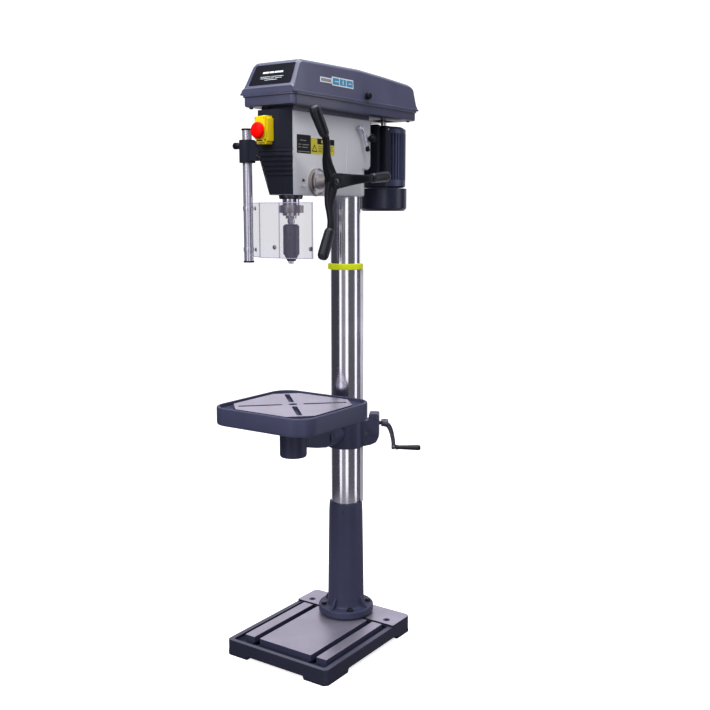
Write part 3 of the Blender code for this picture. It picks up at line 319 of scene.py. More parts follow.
def sweep(route, radii, steps=20, flat=1.0, up=X):
    """A bar swept along a smooth route; radii has one value per route point."""
    pts, rad = [Vector(p) for p in route], list(radii)
    line, width = [], []
    for i in range(len(pts) - 1):
        p0, p1, p2, p3 = pts[max(i - 1, 0)], pts[i], pts[i + 1], pts[min(i + 2, len(pts) - 1)]
        for k in range(SWEEP_FINE):
            t = k / SWEEP_FINE
            line.append(0.5 * ((2 * p1) + (p2 - p0) * t + (2 * p0 - 5 * p1 + 4 * p2 - p3) * t * t
                               + (3 * p1 - p0 - 3 * p2 + p3) * t ** 3))
            width.append(rad[i] + (rad[i + 1] - rad[i]) * t)
    line.append(pts[-1])
    width.append(rad[-1])
    sections = []
    for i, p in enumerate(line):
        ahead = (line[min(i + 1, len(line) - 1)] - line[max(i - 1, 0)]).normalized()
        u = ahead.cross(up).normalized()
        v = ahead.cross(u)
        sections.append([p + (u * math.cos(a) + v * math.sin(a) * flat) * width[i]
                         for a in (math.tau * k / steps for k in range(steps))])
    return loft(sections)


def oblong(hx, y0, y1, r, steps=10):
    """Outline of a rectangle with round corners."""
    pts = []
    for cx, cy, start in ((hx - r, y1 - r, 0), (r - hx, y1 - r, 90), (r - hx, y0 + r, 180),
                          (hx - r, y0 + r, 270)):
        for k in range(steps + 1):
            a = math.radians(start + 90 * k / steps)
            pts.append((cx + r * math.cos(a), cy + r * math.sin(a)))
    return pts


def joined(*parts):
    """Several meshes as one, without cutting them."""
    out = bmesh.new()
    for part in parts:
        mesh = bpy.data.meshes.new("joined")
        bmesh.ops.recalc_face_normals(part, faces=part.faces)
        part.to_mesh(mesh)
        part.free()
        out.from_mesh(mesh)
        bpy.data.meshes.remove(mesh)
    return out


def temp(bm):
    """A scratch object for a boolean."""
    mesh = bpy.data.meshes.new("scratch")
    bmesh.ops.recalc_face_normals(bm, faces=bm.faces)
    bm.to_mesh(mesh)
    bm.free()
    obj = bpy.data.objects.new("scratch", mesh)
    bpy.context.scene.collection.objects.link(obj)
    return obj


def carved(bm, cuts=(), adds=()):
    """A solid with others joined to it and then cut from it."""
    main = temp(bm)
    tools = [(temp(t), "UNION") for t in adds] + [(temp(t), "DIFFERENCE") for t in cuts]
    for tool, kind in tools:
        mod = main.modifiers.new(kind, "BOOLEAN")
        mod.operation, mod.solver, mod.object = kind, "EXACT", tool
    mesh = bpy.data.meshes.new_from_object(main.evaluated_get(bpy.context.evaluated_depsgraph_get()))
    out = bmesh.new()
    out.from_mesh(mesh)
    bpy.data.meshes.remove(mesh)
    for obj in [main] + [t for t, _ in tools]:
        data = obj.data
        bpy.data.objects.remove(obj, do_unlink=True)
        bpy.data.meshes.remove(data)
    bmesh.ops.dissolve_degenerate(out, edges=out.edges, dist=1e-6)
    return out


def piece(name, bm, look, body, stands=(), bevel=0.0, sharp=32, segments=3, top=None, top_z=None):
    """Finish a mesh as a piece of a body; top is another finish for its upward faces above top_z, for
    ground faces and for tops lightened as painted highlight.
    """
    bmesh.ops.recalc_face_normals(bm, faces=bm.faces)
    mesh = bpy.data.meshes.new(name)
    if top:
        for face in bm.faces:
            if face.normal.z > 0.9 and face.calc_center_median().z > top_z:
                face.material_index = 1
    bm.to_mesh(mesh)
    bm.free()
    mesh.shade_smooth()
    mesh.set_sharp_from_angle(angle=math.radians(sharp))
    mesh.materials.append(LOOKS[look])
    if top:
        mesh.materials.append(LOOKS[top])
    obj = bpy.data.objects.new(name, mesh)
    bpy.context.scene.collection.objects.link(obj)
    if bevel:
        edge = obj.modifiers.new("edge", "BEVEL")
        edge.width, edge.segments, edge.limit_method = bevel, segments, "ANGLE"
        edge.angle_limit = math.radians(sharp)
        edge.harden_normals = True
        edge.material = -1
    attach(obj, body)
    if stands:
        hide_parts(*([stands] if isinstance(stands, str) else stands))
    return obj


def keep(node, look, bevel=0.0):
    """Show a solid-model node as it is, with a finish of its own."""
    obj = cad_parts[node]
    obj.data.materials.clear()
    obj.data.materials.append(LOOKS[look])
    if bevel:
        edge = obj.modifiers.new("edge", "BEVEL")
        edge.width, edge.segments, edge.limit_method = bevel, 2, "ANGLE"
        edge.angle_limit = math.radians(40)
        edge.harden_normals = True


def hex_bolt(at, axis, r, height, washer=True):
    """A hexagon head with a chamfered face, on a washer."""
    head = lathe([(0, 0.0012), (r, 0.0012), (r, height - 0.0012), (r * 0.86, height), (0, height)], at,
                 axis, 0.0001, 6)
    if not washer:
        return head
    return joined(head, lathe([(0, 0), (r * 1.25, 0), (r * 1.25, 0.0016), (0, 0.0016)], at, axis, 0.0004,
                              32))


def socket_screw(at, axis, r, height):
    """A cap screw with a hexagon recess."""
    cup = carved(lathe([(0, 0), (r, 0), (r, height), (0, height)], at, axis, r * 0.18, 32),
                 [lathe([(0, height * 0.4), (r * 0.55, height * 0.4), (r * 0.55, height + 0.01),
                         (0, height + 0.01)], at, axis, 0, 6)])
    return cup


def screws(name, places, axis, size, look, body):
    """A numbered set of cap screws that face one way."""
    for k, at in enumerate(places):
        piece(f"{name}_{k + 1}", socket_screw(at, axis, *size), look, body)


def plate(corners, thick, look, name, body, bevel=0.0003, r=0.002):
    """A thin plate with round corners: origin, two edge vectors and its thickness outwards."""
    origin, u, v = (Vector(c) for c in corners)
    w = u.cross(v).normalized()
    matrix = Matrix((u.normalized(), v.normalized(), w)).transposed().to_4x4()
    matrix.translation = origin
    lu, lv = u.length, v.length
    outline = soften([(0, 0), (lu, 0), (lu, lv), (0, lv)], r, True, 5)
    return piece(name, prism(outline, 0, thick, matrix), look, body, bevel=bevel)


# ---------------------------------------------------------------- base, column and rack

def build_base():
    """Cast base: arched feet, drip channel, raised ground pads, T-slots and the column seat; the casting's
    paint is darkened as painted shade, and the tops of its rim and rear platform are lightened as painted
    highlight.
    """
    def ring(inset, z, c):
        x, y0, y1 = BASE_HALF - inset, BASE_FRONT + inset, BASE_REAR - inset
        pts = [(x, y0 + c), (x, y1 - c), (x - c, y1), (c - x, y1), (-x, y1 - c), (-x, y0 + c),
               (c - x, y0), (x - c, y0)]
        return [(*p, z) for p in soften(pts, 0.003)]

    body = loft([ring(0.001, 0, 0.011), ring(0, 0.0015, 0.011), ring(0, 0.011, 0.011),
                 ring(0.0008, 0.013, 0.011), ring(0.0012, BASE_H - 0.003, 0.010),
                 ring(0.0018, BASE_H - 0.001, 0.010), ring(0.0030, BASE_H, 0.009)])
    top = BASE_H + 0.02
    well = loft([[(*p, z) for p in oblong(0.1675 - k, -0.3445 + k, -0.0125 - k, 0.008, 6)]
                 for k, z in ((0.004, CHANNEL_Z), (0.0005, CHANNEL_Z + 0.003), (0, top))])
    cuts = [well]
    for side in (-1, 1):
        for a, b, y0, y1, z0, z1 in ((0.095, 0.115, -0.326, -0.018, 0.028, CHANNEL_Z + 0.01),
                                     (0.088, 0.122, -0.3071, -0.0269, 0.018, 0.029)):
            xs = sorted((side * a, side * b))
            cuts.append(block((xs[0], y0, z0), (xs[1], y1, z1)))
        arch = soften([(-0.257, -0.01), (0.016, -0.01), (0.010, 0.012), (-0.251, 0.012)], 0.006)
        xs = sorted((side * 0.166, side * 0.20))
        cuts.append(prism(arch, xs[0], xs[1], side_frame()))
    arch = soften([(-0.108, -0.01), (0.108, -0.01), (0.102, 0.012), (-0.102, 0.012)], 0.006)
    for y0, y1 in ((-0.38, -0.343), (0.072, 0.11)):
        cuts.append(prism(arch, -y1, -y0, Matrix.Rotation(math.pi / 2, 4, "X")))
    # The casting takes the paint darkened as painted shade; the top faces of its rim take a painted
    # highlight.
    piece("base_casting", carved(body, cuts), "paint_base_shaded", "stand", "base_plate", bevel=0.0007,
          segments=2, top="rim_top_highlight", top_z=BASE_H - 0.0005)
    x, y1, c = BASE_HALF - 0.001, BASE_REAR - 0.001, 0.010
    outline = soften([(x, PLATFORM_FRONT), (x, y1 - c), (x - c, y1), (c - x, y1), (-x, y1 - c),
                      (-x, PLATFORM_FRONT)], 0.003)
    holes = [rod((side * ANCHOR_X, ANCHOR_Y, 0.030), (side * ANCHOR_X, ANCHOR_Y, top), ANCHOR_R)
             for side in (-1, 1)]
    platform = carved(prism(outline, BASE_H - 0.002, PAD_TOP), holes)
    # The platform is painted; its top takes the lighter ground finish as a painted highlight from the light
    # above.
    piece("rear_platform", platform, "paint_base_shaded", "stand", bevel=0.0008, top="machined", top_z=0.050)
    seat = lathe([(0, PAD_TOP - 0.001), (SEAT_R, PAD_TOP - 0.001), (SEAT_R, SEAT_TOP), (0, SEAT_TOP)],
                 steps=96)
    hole = rod((0, 0, PAD_TOP - 0.003), (0, 0, SEAT_TOP + 0.01), BORE_R + 0.001, 96)
    piece("column_seat", carved(seat, [hole]), "paint_low_shaded", "stand")
    for name, x0, x1 in (("pad_left", -0.150, -0.115), ("pad_centre", -0.095, 0.095),
                         ("pad_right", 0.115, 0.150)):
        outline = soften([(x0, PAD_FRONT), (x1, PAD_FRONT), (x1, PAD_REAR), (x0, PAD_REAR)], 0.0015)
        piece(name, prism(outline, CHANNEL_Z - 0.0005, PAD_TOP), "paint_low_shaded", "stand", bevel=0.0007,
              top="machined", top_z=0.050)
    for side in (-1, 1):
        washer = [(0.0064, 0), (0.0110, 0), (0.0110, 0.0006), (0.0064, 0.0006)]
        piece(f"anchor_seat_{side + 2}", lathe(washer, (side * ANCHOR_X, ANCHOR_Y, PAD_TOP - 0.0004),
                                               ring=True, r=0.0002), "paint_low_shaded", "stand")


def build_sleeve():
    """Bolted flange, gussets and the tall tapered sleeve that holds the column."""
    profile = [(BORE_R + 0.0002, SLEEVE_TOP), (0.0508, SLEEVE_TOP, 0.003),
               (0.0524, SLEEVE_TOP - 0.030, 0.03), (0.0565, 0.100, 0.02),
               (0.0585, FLANGE_TOP + 0.001, 0.008), (FLANGE_R - 0.0015, FLANGE_TOP, 0.002),
               (FLANGE_R, FLANGE_TOP - 0.003, 0.0015), (FLANGE_R, SEAT_TOP + 0.0003, 0.001),
               (BORE_R + 0.0002, SEAT_TOP + 0.0003)]
    cuts = []
    for k in range(4):
        p = polar(BOLT_R, math.radians(45 + 90 * k))
        cuts.append(rod((p.x, p.y, 0.05), (p.x, p.y, 0.09), 0.0058))
    piece("sleeve_casting", carved(lathe(profile, ring=True, r=0.0005, steps=128), cuts), "paint_low_shaded",
          "stand", "column_sleeve")
    for k in range(4):
        rib = soften([(0.050, 0.077), (0.0785, 0.077), (0.0780, 0.084), (0.0560, 0.114), (0.050, 0.117)],
                     0.004)
        piece(f"gusset_{k + 1}", prism(rib, -0.0038, 0.0038, radial(math.radians(90 * k))), "paint_low_shaded",
              "stand", bevel=0.0015)
        p = polar(BOLT_R, math.radians(45 + 90 * k), FLANGE_TOP + 0.0003)
        piece(f"flange_bolt_head_{k + 1}", joined(hex_bolt(p, Z, 0.0088, 0.0078),
                                                  rod(p - Z * 0.025, p, 0.005)), "dark_steel", "stand",
              f"flange_bolt_{k + 1}")
    for k, a in enumerate((-60, 120)):
        d = polar(1, math.radians(a))
        piece(f"sleeve_grub_{k + 1}", socket_screw(d * 0.0500 + Z * 0.392, d, 0.0045, 0.0032),
              "dark_steel", "stand")


def build_column():
    """Ground steel column, its rack and the collar that holds the rack."""
    tube = [(0.041, COLUMN_TOP), (COLUMN_R, COLUMN_TOP), (COLUMN_R, SEAT_TOP + 0.001),
            (0.041, SEAT_TOP + 0.001)]
    piece("column_ground", lathe(tube, ring=True, steps=160), "steel", "stand", "column_tube")
    ring = [(BORE_R, COLLAR_HIGH), (0.053, COLLAR_HIGH, 0.0025), (0.053, COLLAR_LOW, 0.0025),
            (BORE_R, COLLAR_LOW)]
    piece("rack_collar_ring", lathe(ring, ring=True, r=0.0006, steps=128), "lime", "stand", "rack_collar")
    d = polar(1, math.radians(-75))
    piece("collar_screw", socket_screw(d * 0.0505 + Z * 1.144, d, 0.0035, 0.0022), "dark_steel", "stand")
    z0, z1, pitch = SLEEVE_TOP + 0.001, COLLAR_LOW - 0.001, 0.00576
    line, z = [(BORE_R + 0.0004, z0), (RACK_R, z0)], z0 + 0.004
    while z + pitch < z1 - 0.003:
        line += [(RACK_R, z), (RACK_R - 0.0034, z + pitch * 0.17), (RACK_R - 0.0034, z + pitch * 0.45),
                 (RACK_R, z + pitch * 0.62)]
        z += pitch
    line += [(RACK_R, z1), (BORE_R + 0.0004, z1)]
    bars = [prism(line, -0.0066, 0.0066, radial(RACK_ANGLE))]
    for side in (-1, 1):
        edge = soften([(BORE_R + 0.0012, z0), (RACK_R - 0.0008, z0), (RACK_R - 0.0008, z1),
                       (BORE_R + 0.0012, z1)], 0.0008)
        lo, hi = sorted((side * 0.0067, side * 0.0098))
        bars.append(prism(edge, lo, hi, radial(RACK_ANGLE)))
    piece("rack_bar", joined(*bars), "rack_steel", "rack", "rack", sharp=20)


# ---------------------------------------------------------------- table lift

def build_bracket():
    """Split clamp on the column, worm housing, tilt flange and clamp ears."""
    low, high = BRACKET_LOW, BRACKET_HIGH
    ring = lathe([(BORE_R, high), (BRACKET_R, high, 0.004), (BRACKET_R, low, 0.004), (BORE_R, low)],
                 ring=True, steps=128)
    tilt = lathe([(0, 0.046), (0.029, 0.046), (0.029, 0.060, 0.003), (0.0315, 0.0635), (0.0315, 0.0998),
                  (0, 0.0998)], (0, 0, TILT_Z), -Y, 0.0008)
    outline = soften([(0.050, 0.592, 0), (0.078, 0.598), (0.095, 0.606), (0.103, 0.622), (0.103, 0.6945),
                      (0.072, 0.6945), (0.072, 0.674), (0.050, 0.674, 0)], 0.006)
    house = prism(outline, -0.028, 0.020, radial(RACK_ANGLE))
    ears = prism(soften([(0.050, 0.602), (0.088, 0.602), (0.088, 0.663), (0.050, 0.663)], 0.008), -0.016,
                 0.016, radial(CLAMP_ANGLE))
    t, clamp_t = polar(1, RACK_ANGLE + math.pi / 2), polar(1, CLAMP_ANGLE + math.pi / 2)
    mid, ear_mid, side = polar(LIFT_R, RACK_ANGLE, LIFT_Z), polar(0.075, CLAMP_ANGLE,
        0.6325), t * CRANK_SIDE
    cuts = [rod((0, 0, low - 0.01), (0, 0, high + 0.01), BORE_R, 96),
            block((0.040, -0.0105, 0.58), (RACK_R + 0.0006, 0.0105, 0.70), RACK_ANGLE),
            block((0.0475, -0.0175, 0.612), (0.088, 0.0175, 0.653), RACK_ANGLE),
            block((0.056, 0.0035, 0.645), (0.090, 0.0245, 0.6712), RACK_ANGLE),
            block((0.040, -0.002, 0.58), (0.10, 0.002, 0.70), CLAMP_ANGLE),
            rod((0, -0.056, TILT_Z), (0, -0.11, TILT_Z), 0.0084),
            rod(mid - t * 0.03, mid + t * 0.03, 0.0064), rod(polar(0.085, RACK_ANGLE, CRANK_Z) + side,
        polar(0.11, RACK_ANGLE, CRANK_Z) + side, 0.0064), rod(ear_mid - clamp_t * 0.03,
        ear_mid + clamp_t * 0.03, 0.0055)]
    piece("bracket_casting", carved(ring, cuts, [tilt, house, ears]), "paint_low_shaded", "bracket",
          "table_bracket", bevel=0.0007, segments=2)
    face = polar(0.088, RACK_ANGLE, 0.640) - t * 0.020
    cover = lathe([(0, 0), (0.0135, 0), (0.0135, 0.0015, 0.001), (0, 0.0015)], face, -t, 0.0005, 48)
    piece("worm_cover", cover, "paint_low_shaded", "bracket")
    places = [polar(r, RACK_ANGLE, z) - t * 0.0199 for r, z in ((0.062, 0.605), (0.095, 0.683))]
    screws("housing_screw", places, -t, (0.0042, 0.0030), "dark_steel", "bracket")
    tick = block((-0.0002, -0.0665, TILT_Z + 0.0313), (0.0003, -0.0985, TILT_Z + 0.0315))
    piece("tilt_zero_mark", tick, "label_white", "bracket")
    keep("lift_gear", "dark_steel")
    end = CRANK_Z - CRANK_SWING
    out = polar(1, RACK_ANGLE)
    hub = lathe([(0, 0.131), (0.0115, 0.131, 0.003), (0.0115, 0.109, 0.001), (0.006, 0.109),
                 (0.006, 0.088), (0.0094, 0.088), (0.0094, 0.058), (0, 0.058)],
                polar(0, RACK_ANGLE, CRANK_Z) + side, out, 0.0008, 48)
    route = [polar(r, RACK_ANGLE, z) + side for r, z in ((0.120, 0.657), (0.130, 0.653), (0.1385, 0.638),
        (0.1440, 0.616), (0.1468, 0.598), (0.1475, end - 0.004))]
    arm = sweep(route, (0.0085, 0.0082, 0.0072, 0.0066, 0.0062, 0.0070), 24, 0.55, t)
    tip = polar(0, RACK_ANGLE, end) + side
    pin = joined(rod(tip + out * 0.143, tip + out * 0.222, 0.0032),
                 rod(tip + out * 0.1425, tip + out * 0.1515, 0.0070))
    grub = socket_screw(polar(0.120, RACK_ANGLE, CRANK_Z + 0.0105) + side, Z, 0.0028, 0.0014)
    piece("crank_arm_forging", joined(hub, arm, pin, grub), "dark_steel", "crank", "crank")
    handle = [(0.0036, 0.231), (0.0070, 0.231, 0.003), (0.0086, 0.222, 0.008), (0.0070, 0.185, 0.03),
              (0.0064, 0.165, 0.01), (0.0078, 0.1560, 0.003), (0.0074, 0.153), (0.0036, 0.153)]
    piece("crank_grip", lathe(handle, tip, out, 0.0006, 48, True), "rubber", "crank_handle",
          "crank_handle")
    lock = lathe([(0, 0.040), (0.009, 0.040, 0.002), (0.011, 0.030), (0.011, 0.0165), (0.005, 0.0165),
                  (0.005, -0.014), (0, -0.014)], ear_mid, -clamp_t, 0.001, 48)
    start = ear_mid - clamp_t * 0.032
    stop = start - Z * 0.055 - clamp_t * 0.02
    ball = lathe([(0, -0.012), (0.0088, -0.010, 0.006), (0.0088, 0.006, 0.006), (0, 0.008)], stop, Z,
                 0.003, 40)
    piece("bracket_lock_lever", joined(lock, rod(start, stop, 0.0045)), "dark_steel", "bracket_lock",
          "bracket_lock")
    piece("bracket_lock_ball", ball, "black", "bracket_lock")


def build_arm():
    """Tilting arm with its boss, web and bolt, and the table lock."""
    cy = SPINDLE_Y
    boss = lathe([(0, 0.612), (ARM_R - 0.002, 0.612, 0.003), (ARM_R, 0.618), (ARM_R, 0.7155, 0.002),
                  (0, 0.7155)], (0, cy, 0), r=0.0012, steps=96)
    disc = lathe([(0, 0.1003), (0.0315, 0.1003), (0.0315, 0.118, 0.003), (0, 0.118)], (0, 0, TILT_Z), -Y,
                 0.0008, 96)

    def section(y, half, low, high):
        pts = soften([(-half, low), (half, low), (half, high), (-half, high)], 0.010)
        return [(p.x, y, p.y) for p in pts]

    web = loft([section(-0.109, 0.026, 0.613, 0.667), section(-0.130, 0.026, 0.612, 0.680),
                section(-0.175, 0.026, 0.620, 0.693), section(-0.225, 0.026, 0.632, 0.702),
                section(cy, 0.026, 0.640, 0.706)])
    cuts = [rod((0, cy, 0.60), (0, cy, 0.73), 0.0205, 64), rod((0, -0.09, TILT_Z), (0, -0.13, TILT_Z),
        0.0084), block((-0.018, -0.152, 0.600), (0.018, -0.118, 0.657)),
            rod((-0.05, cy, TABLE_LOCK_Z), (-0.01, cy, TABLE_LOCK_Z), 0.0053)]
    piece("arm_casting", carved(boss, cuts, [disc, web]), "paint_low_shaded", "arm", "table_arm", bevel=0.0007,
          segments=2)
    at = (0, -0.0365, TILT_Z)
    bolt = lathe([(0, 0.082), (0.008, 0.082), (0.008, 0.020), (0, 0.020)], at, -Y, 0.0005, 48)
    head = lathe([(0, 0.0818), (0.0125, 0.0818), (0.0125, 0.099), (0.0108, 0.100), (0, 0.100)], at, -Y,
                 0.0001, 6)
    piece("tilt_bolt_hex", joined(bolt, head), "dark_steel", "arm", "tilt_bolt")
    scale = [block((-0.0003, -0.1168, 0.0309), (0.0003, -0.1013, 0.0313)) for _ in range(15)]
    for k, bm in enumerate(scale):
        a = math.radians((k - 7) * 7.5)
        bmesh.ops.rotate(bm, verts=bm.verts, cent=(0, 0, 0), matrix=Matrix.Rotation(a, 3, "Y"))
        bmesh.ops.translate(bm, verts=bm.verts, vec=(0, 0, TILT_Z))
    piece("tilt_scale", joined(*scale), "label_white", "arm")
    lock = lathe([(0, 0.060), (0.010, 0.060, 0.002), (0.012, 0.052), (0.009, 0.042), (0.0047, 0.040),
                  (0.0047, 0.0215), (0, 0.0215)], (0, cy, TABLE_LOCK_Z), -X, 0.001, 48)
    lever = rod((-0.050, cy, TABLE_LOCK_Z), (-0.056, cy - 0.040, TABLE_LOCK_Z - 0.008), 0.0045)
    piece("table_lock_lever", joined(lock, lever), "dark_steel", "table_lock", "table_lock")


def build_table():
    """Cast table: painted skirt, drip channel, ground face with four diagonal slots."""
    low, high, h, cy = TABLE_LOW, TABLE_TOP, TABLE_HALF, SPINDLE_Y

    def ring(inset, z, r=TABLE_CORNER):
        return [(*p, z) for p in oblong(h - inset, cy - h + inset, cy + h - inset, r - inset, 16)]

    body = loft([ring(0.0035, low), ring(0.0012, low + 0.001), ring(0.0004, low + 0.004),
                 ring(0, low + 0.008), ring(0, high - 0.004), ring(0.0006, high - 0.0016),
                 ring(0.0020, high - 0.0003), ring(0.0035, high)])
    spigot = rod((0, cy, 0.630), (0, cy, low + 0.01), 0.020, 64)
    inner, face, c = h - 0.008, 0.145, 0.056
    well = loft([[(*p, z) for p in oblong(inner - k, cy - inner + k, cy + inner - k,
                                          TABLE_CORNER - 0.008 - k, 16)]
                 for k, z in ((0.005, high - 0.013), (0.0012, high - 0.010), (0, high + 0.01))])
    pad = [(x, cy + y) for x, y in ((face, -face + c), (face, face - c), (face - c, face),
                                    (c - face, face), (-face, face - c), (-face, c - face),
                                    (c - face, -face), (face - c, -face))]
    slots, pockets = [rod((0, cy, high - 0.05), (0, cy, high + 0.01), 0.0125, 64)], []
    for k in range(4):
        matrix = Matrix.Translation((0, cy, 0)) @ Matrix.Rotation(math.radians(45 + 90 * k), 4, "Z")
        slots.append(prism(soften([(0.030, -0.0075), (0.155, -0.0075), (0.155, 0.0075), (0.030, 0.0075)],
                                  0.0073), high - 0.0135, high + 0.01, matrix))
        quarter = Matrix.Translation((0, cy, 0)) @ Matrix.Rotation(math.radians(90 * k), 4, "Z")
        pockets.append(prism(soften([(0.045, 0.045), (0.138, 0.045), (0.138, 0.138), (0.045, 0.138)],
                                    0.012), low - 0.01, high - 0.026, quarter))
    centre = rod((0, cy, high - 0.05), (0, cy, high + 0.01), 0.0125, 64)
    piece("table_casting", carved(body, [well] + pockets + [centre], [spigot]), "paint_low_shaded", "table",
          "table", bevel=0.0006, segments=2)
    slab = carved(prism(soften(pad, 0.004), high - 0.0134, high - 0.0020), slots)
    piece("table_face", slab, "paint_low_shaded", "table", bevel=0.0006, segments=2, top="machined",
          top_z=high - 0.003)


# ---------------------------------------------------------------- head

def build_head():
    """Head casting with its column socket, boss, bores, plates, marks and screws."""
    side = soften([(HEAD_FRONT, TAPER_TOP, 0.03), (TAPER_FRONT, HEAD_LOW), (0.0, HEAD_LOW, 0),
                   (0.0, NECK_TOP, 0.012), (HEAD_REAR - 0.010, NECK_TOP), (HEAD_REAR, NECK_TOP + 0.010),
                   (HEAD_REAR, HEAD_TOP), (HEAD_FRONT, HEAD_TOP)], 0.004)
    frame_x = side_frame()
    sections = []
    for x, k in ((-HEAD_X, 0.005), (-HEAD_X + 0.0015, 0.0018), (-HEAD_X + 0.005, 0), (HEAD_X - 0.005, 0),
                 (HEAD_X - 0.0015, 0.0018), (HEAD_X, 0.005)):
        mid = Vector((-0.14, 1.47))
        sections.append([(*(p - Vector((math.copysign(min(k, abs(p.x - mid.x)), p.x - mid.x),
                                        math.copysign(k, p.y - mid.y)))), x) for p in side])
    body = loft(sections, frame_x)
    neck = lathe([(0, HEAD_LOW), (0.0535, HEAD_LOW), (0.056, HEAD_LOW + 0.003, 0.002),
                  (0.056, NECK_TOP + 0.004), (0, NECK_TOP + 0.02)], r=0.0006, steps=128)
    cy = SPINDLE_Y
    cuts = [rod((0, 0, 1.33), (0, 0, COLUMN_TOP + 0.003), BORE_R, 96),
            rod((0, cy, 1.33), (0, cy, 1.512), QUILL_R + 0.0003, 64),
            rod((0, cy, 1.50), (0, cy, 1.60), 0.0215, 64), rod((-0.07, FEED.y, FEED.z),
        (0.07, FEED.y, FEED.z), 0.0093), rod((-0.018, FEED.y, FEED.z), (0.018, FEED.y, FEED.z), 0.0165),
            rod((0.0400, LEVER_Y, LEVER_Z), (0.07, LEVER_Y, LEVER_Z), 0.0056),
            rod((0.046, KNOB_Y, KNOB_Z), (0.07, KNOB_Y, KNOB_Z), 0.0045),
            block((-0.050, -0.196, 1.430), (0.050, -0.068, 1.60))]
    cuts += [rod((s * SLIDE_X, -0.060, SLIDE_Z), (s * SLIDE_X, 0.06, SLIDE_Z), 0.0093) for s in (-1, 1)]
    for s in (-1, 1):
        cuts.append(loft([[(s * (HEAD_X + 0.0002), HEAD_FRONT + 0.067 * t, z),
                           (s * (HEAD_X + (TAPER_HALF - HEAD_X) * t), HEAD_FRONT - 0.001 + 0.0235 * t, z),
                           (s * 0.080, HEAD_FRONT - 0.020, z)]
                          for z, t in ((TAPER_TOP, 0.0), (HEAD_LOW - 0.002, 1.0))]))
    piece("head_body", carved(body, cuts, [neck]), "casting", "stand", "head_casting")
    x = HEAD_X
    boss = [(0.0105, 0), (0.040, 0), (0.0385, 0.0004, 0.0003), (0.0105, 0.0004)]
    piece("feed_boss", lathe(boss, (x, FEED.y, FEED.z), X, 0.0002, 96, True), "casting", "stand")
    plate(((x, -0.309, LABEL_Z), (0, 0.0615, 0), (0, 0, 0.0490)), LABEL_THICK, "satin_black",
          "data_plate", "stand", r=0.001)
    for k, (y0, y1, z, look) in enumerate(((-0.296, -0.268, 1.4945, "label_grey"),
                                           (-0.303, -0.290, 1.4835, "label_grey"),
                                           (-0.285, -0.256, 1.4835, "label_grey"),
                                           (-0.303, -0.292, 1.4765, "label_grey"),
                                           (-0.287, -0.262, 1.4765, "label_grey"),
                                           (-0.304, -0.252, 1.4650, "label_grey"))):
        plate(((x + LABEL_THICK, y0, z), (0, y1 - y0, 0), (0, 0, 0.0020)), PRINT_THICK, look,
              f"data_line_{k}", "stand", 0, 0.0003)
    plate(((x, -0.2470, LABEL_Z), (0, 0.109, 0), (0, 0, 0.0430)), LABEL_THICK, "label_yellow",
          "warning_plate", "stand", r=0.001)
    plate(((x + LABEL_THICK, -0.218, 1.4890), (0, 0.0795, 0), (0, 0, 0.0152)), PRINT_THICK, "satin_black",
          "warning_band", "stand", 0, 0.0006)
    plate(((x + LABEL_THICK + PRINT_THICK, -0.200, 1.4925), (0, 0.028, 0), (0, 0, 0.0080)), PRINT_THICK,
          "label_yellow", "warning_band_mark", "stand", 0, 0.0015)
    for k, z in enumerate((1.4820, 1.4775, 1.4730, 1.4685)):
        plate(((x + LABEL_THICK, -0.2135, z), (0, (0.068, 0.062, 0.070, 0.050)[k], 0), (0, 0, 0.0014)),
              PRINT_THICK, "satin_black", f"warning_line_{k}", "stand", 0, 0.0003)
    matrix = Matrix.Translation((x + LABEL_THICK, -0.2430, 1.4680)) @ side_frame()
    piece("warning_sign", prism(soften([(0, 0), (0.024, 0), (0.012, 0.0205)], 0.0015), 0, PRINT_THICK,
                                matrix), "satin_black", "stand")
    piece("warning_core", prism(soften([(0.0048, 0.0026), (0.0192, 0.0026), (0.012, 0.0152)], 0.001),
                                PRINT_THICK, 2 * PRINT_THICK, matrix), "label_yellow", "stand")
    arrow = soften([(-0.010, 0.0046), (0.005, 0), (-0.010, -0.0046), (-0.0060, 0)], 0.0004)
    piece("depth_pointer", prism(arrow, 0, 0.0006, Matrix.Translation((x + 0.0002, FEED.y - 0.052,
        FEED.z + 0.003)) @ side_frame()), "satin_black", "stand")
    ledge = sweep([(x - 0.0006, FEED.y - 0.066, FEED.z - 0.010),
                   (x - 0.0004, FEED.y - 0.052, FEED.z - 0.0125),
                   (x - 0.0004, FEED.y - 0.040, FEED.z - 0.0125)], (0.0008, 0.0014, 0.0010), 12)
    piece("casting_ledge", ledge, "casting", "stand")
    seam = sweep([(x - 0.0006, -0.323, 1.5150), (x - 0.0006, -0.250, 1.5153),
                  (x - 0.0006, -0.190, 1.5150)], (0.0009, 0.0011, 0.0009), 10)
    web = sweep([(x - 0.0006, -0.078, 1.420), (x - 0.0004, -0.076, 1.465), (x - 0.0006, -0.074, 1.514)],
                (0.0012, 0.0016, 0.0012), 10)
    piece("casting_ribs", joined(seam, web), "casting", "stand")
    places = [(-x + 0.0008, y, z) for y, z in ((-0.300, 1.480), (-0.045, 1.470), (0.020, 1.452))]
    screws("head_screw_left", places, -X, (0.0052, 0.0030), "dark_steel", "stand")
    a = math.radians(-8)
    screws("column_set_screw", [polar(0.0550, a, z) for z in (1.372, 1.405)], polar(1, a),
           (0.0050, 0.0032), "dark_steel", "stand")


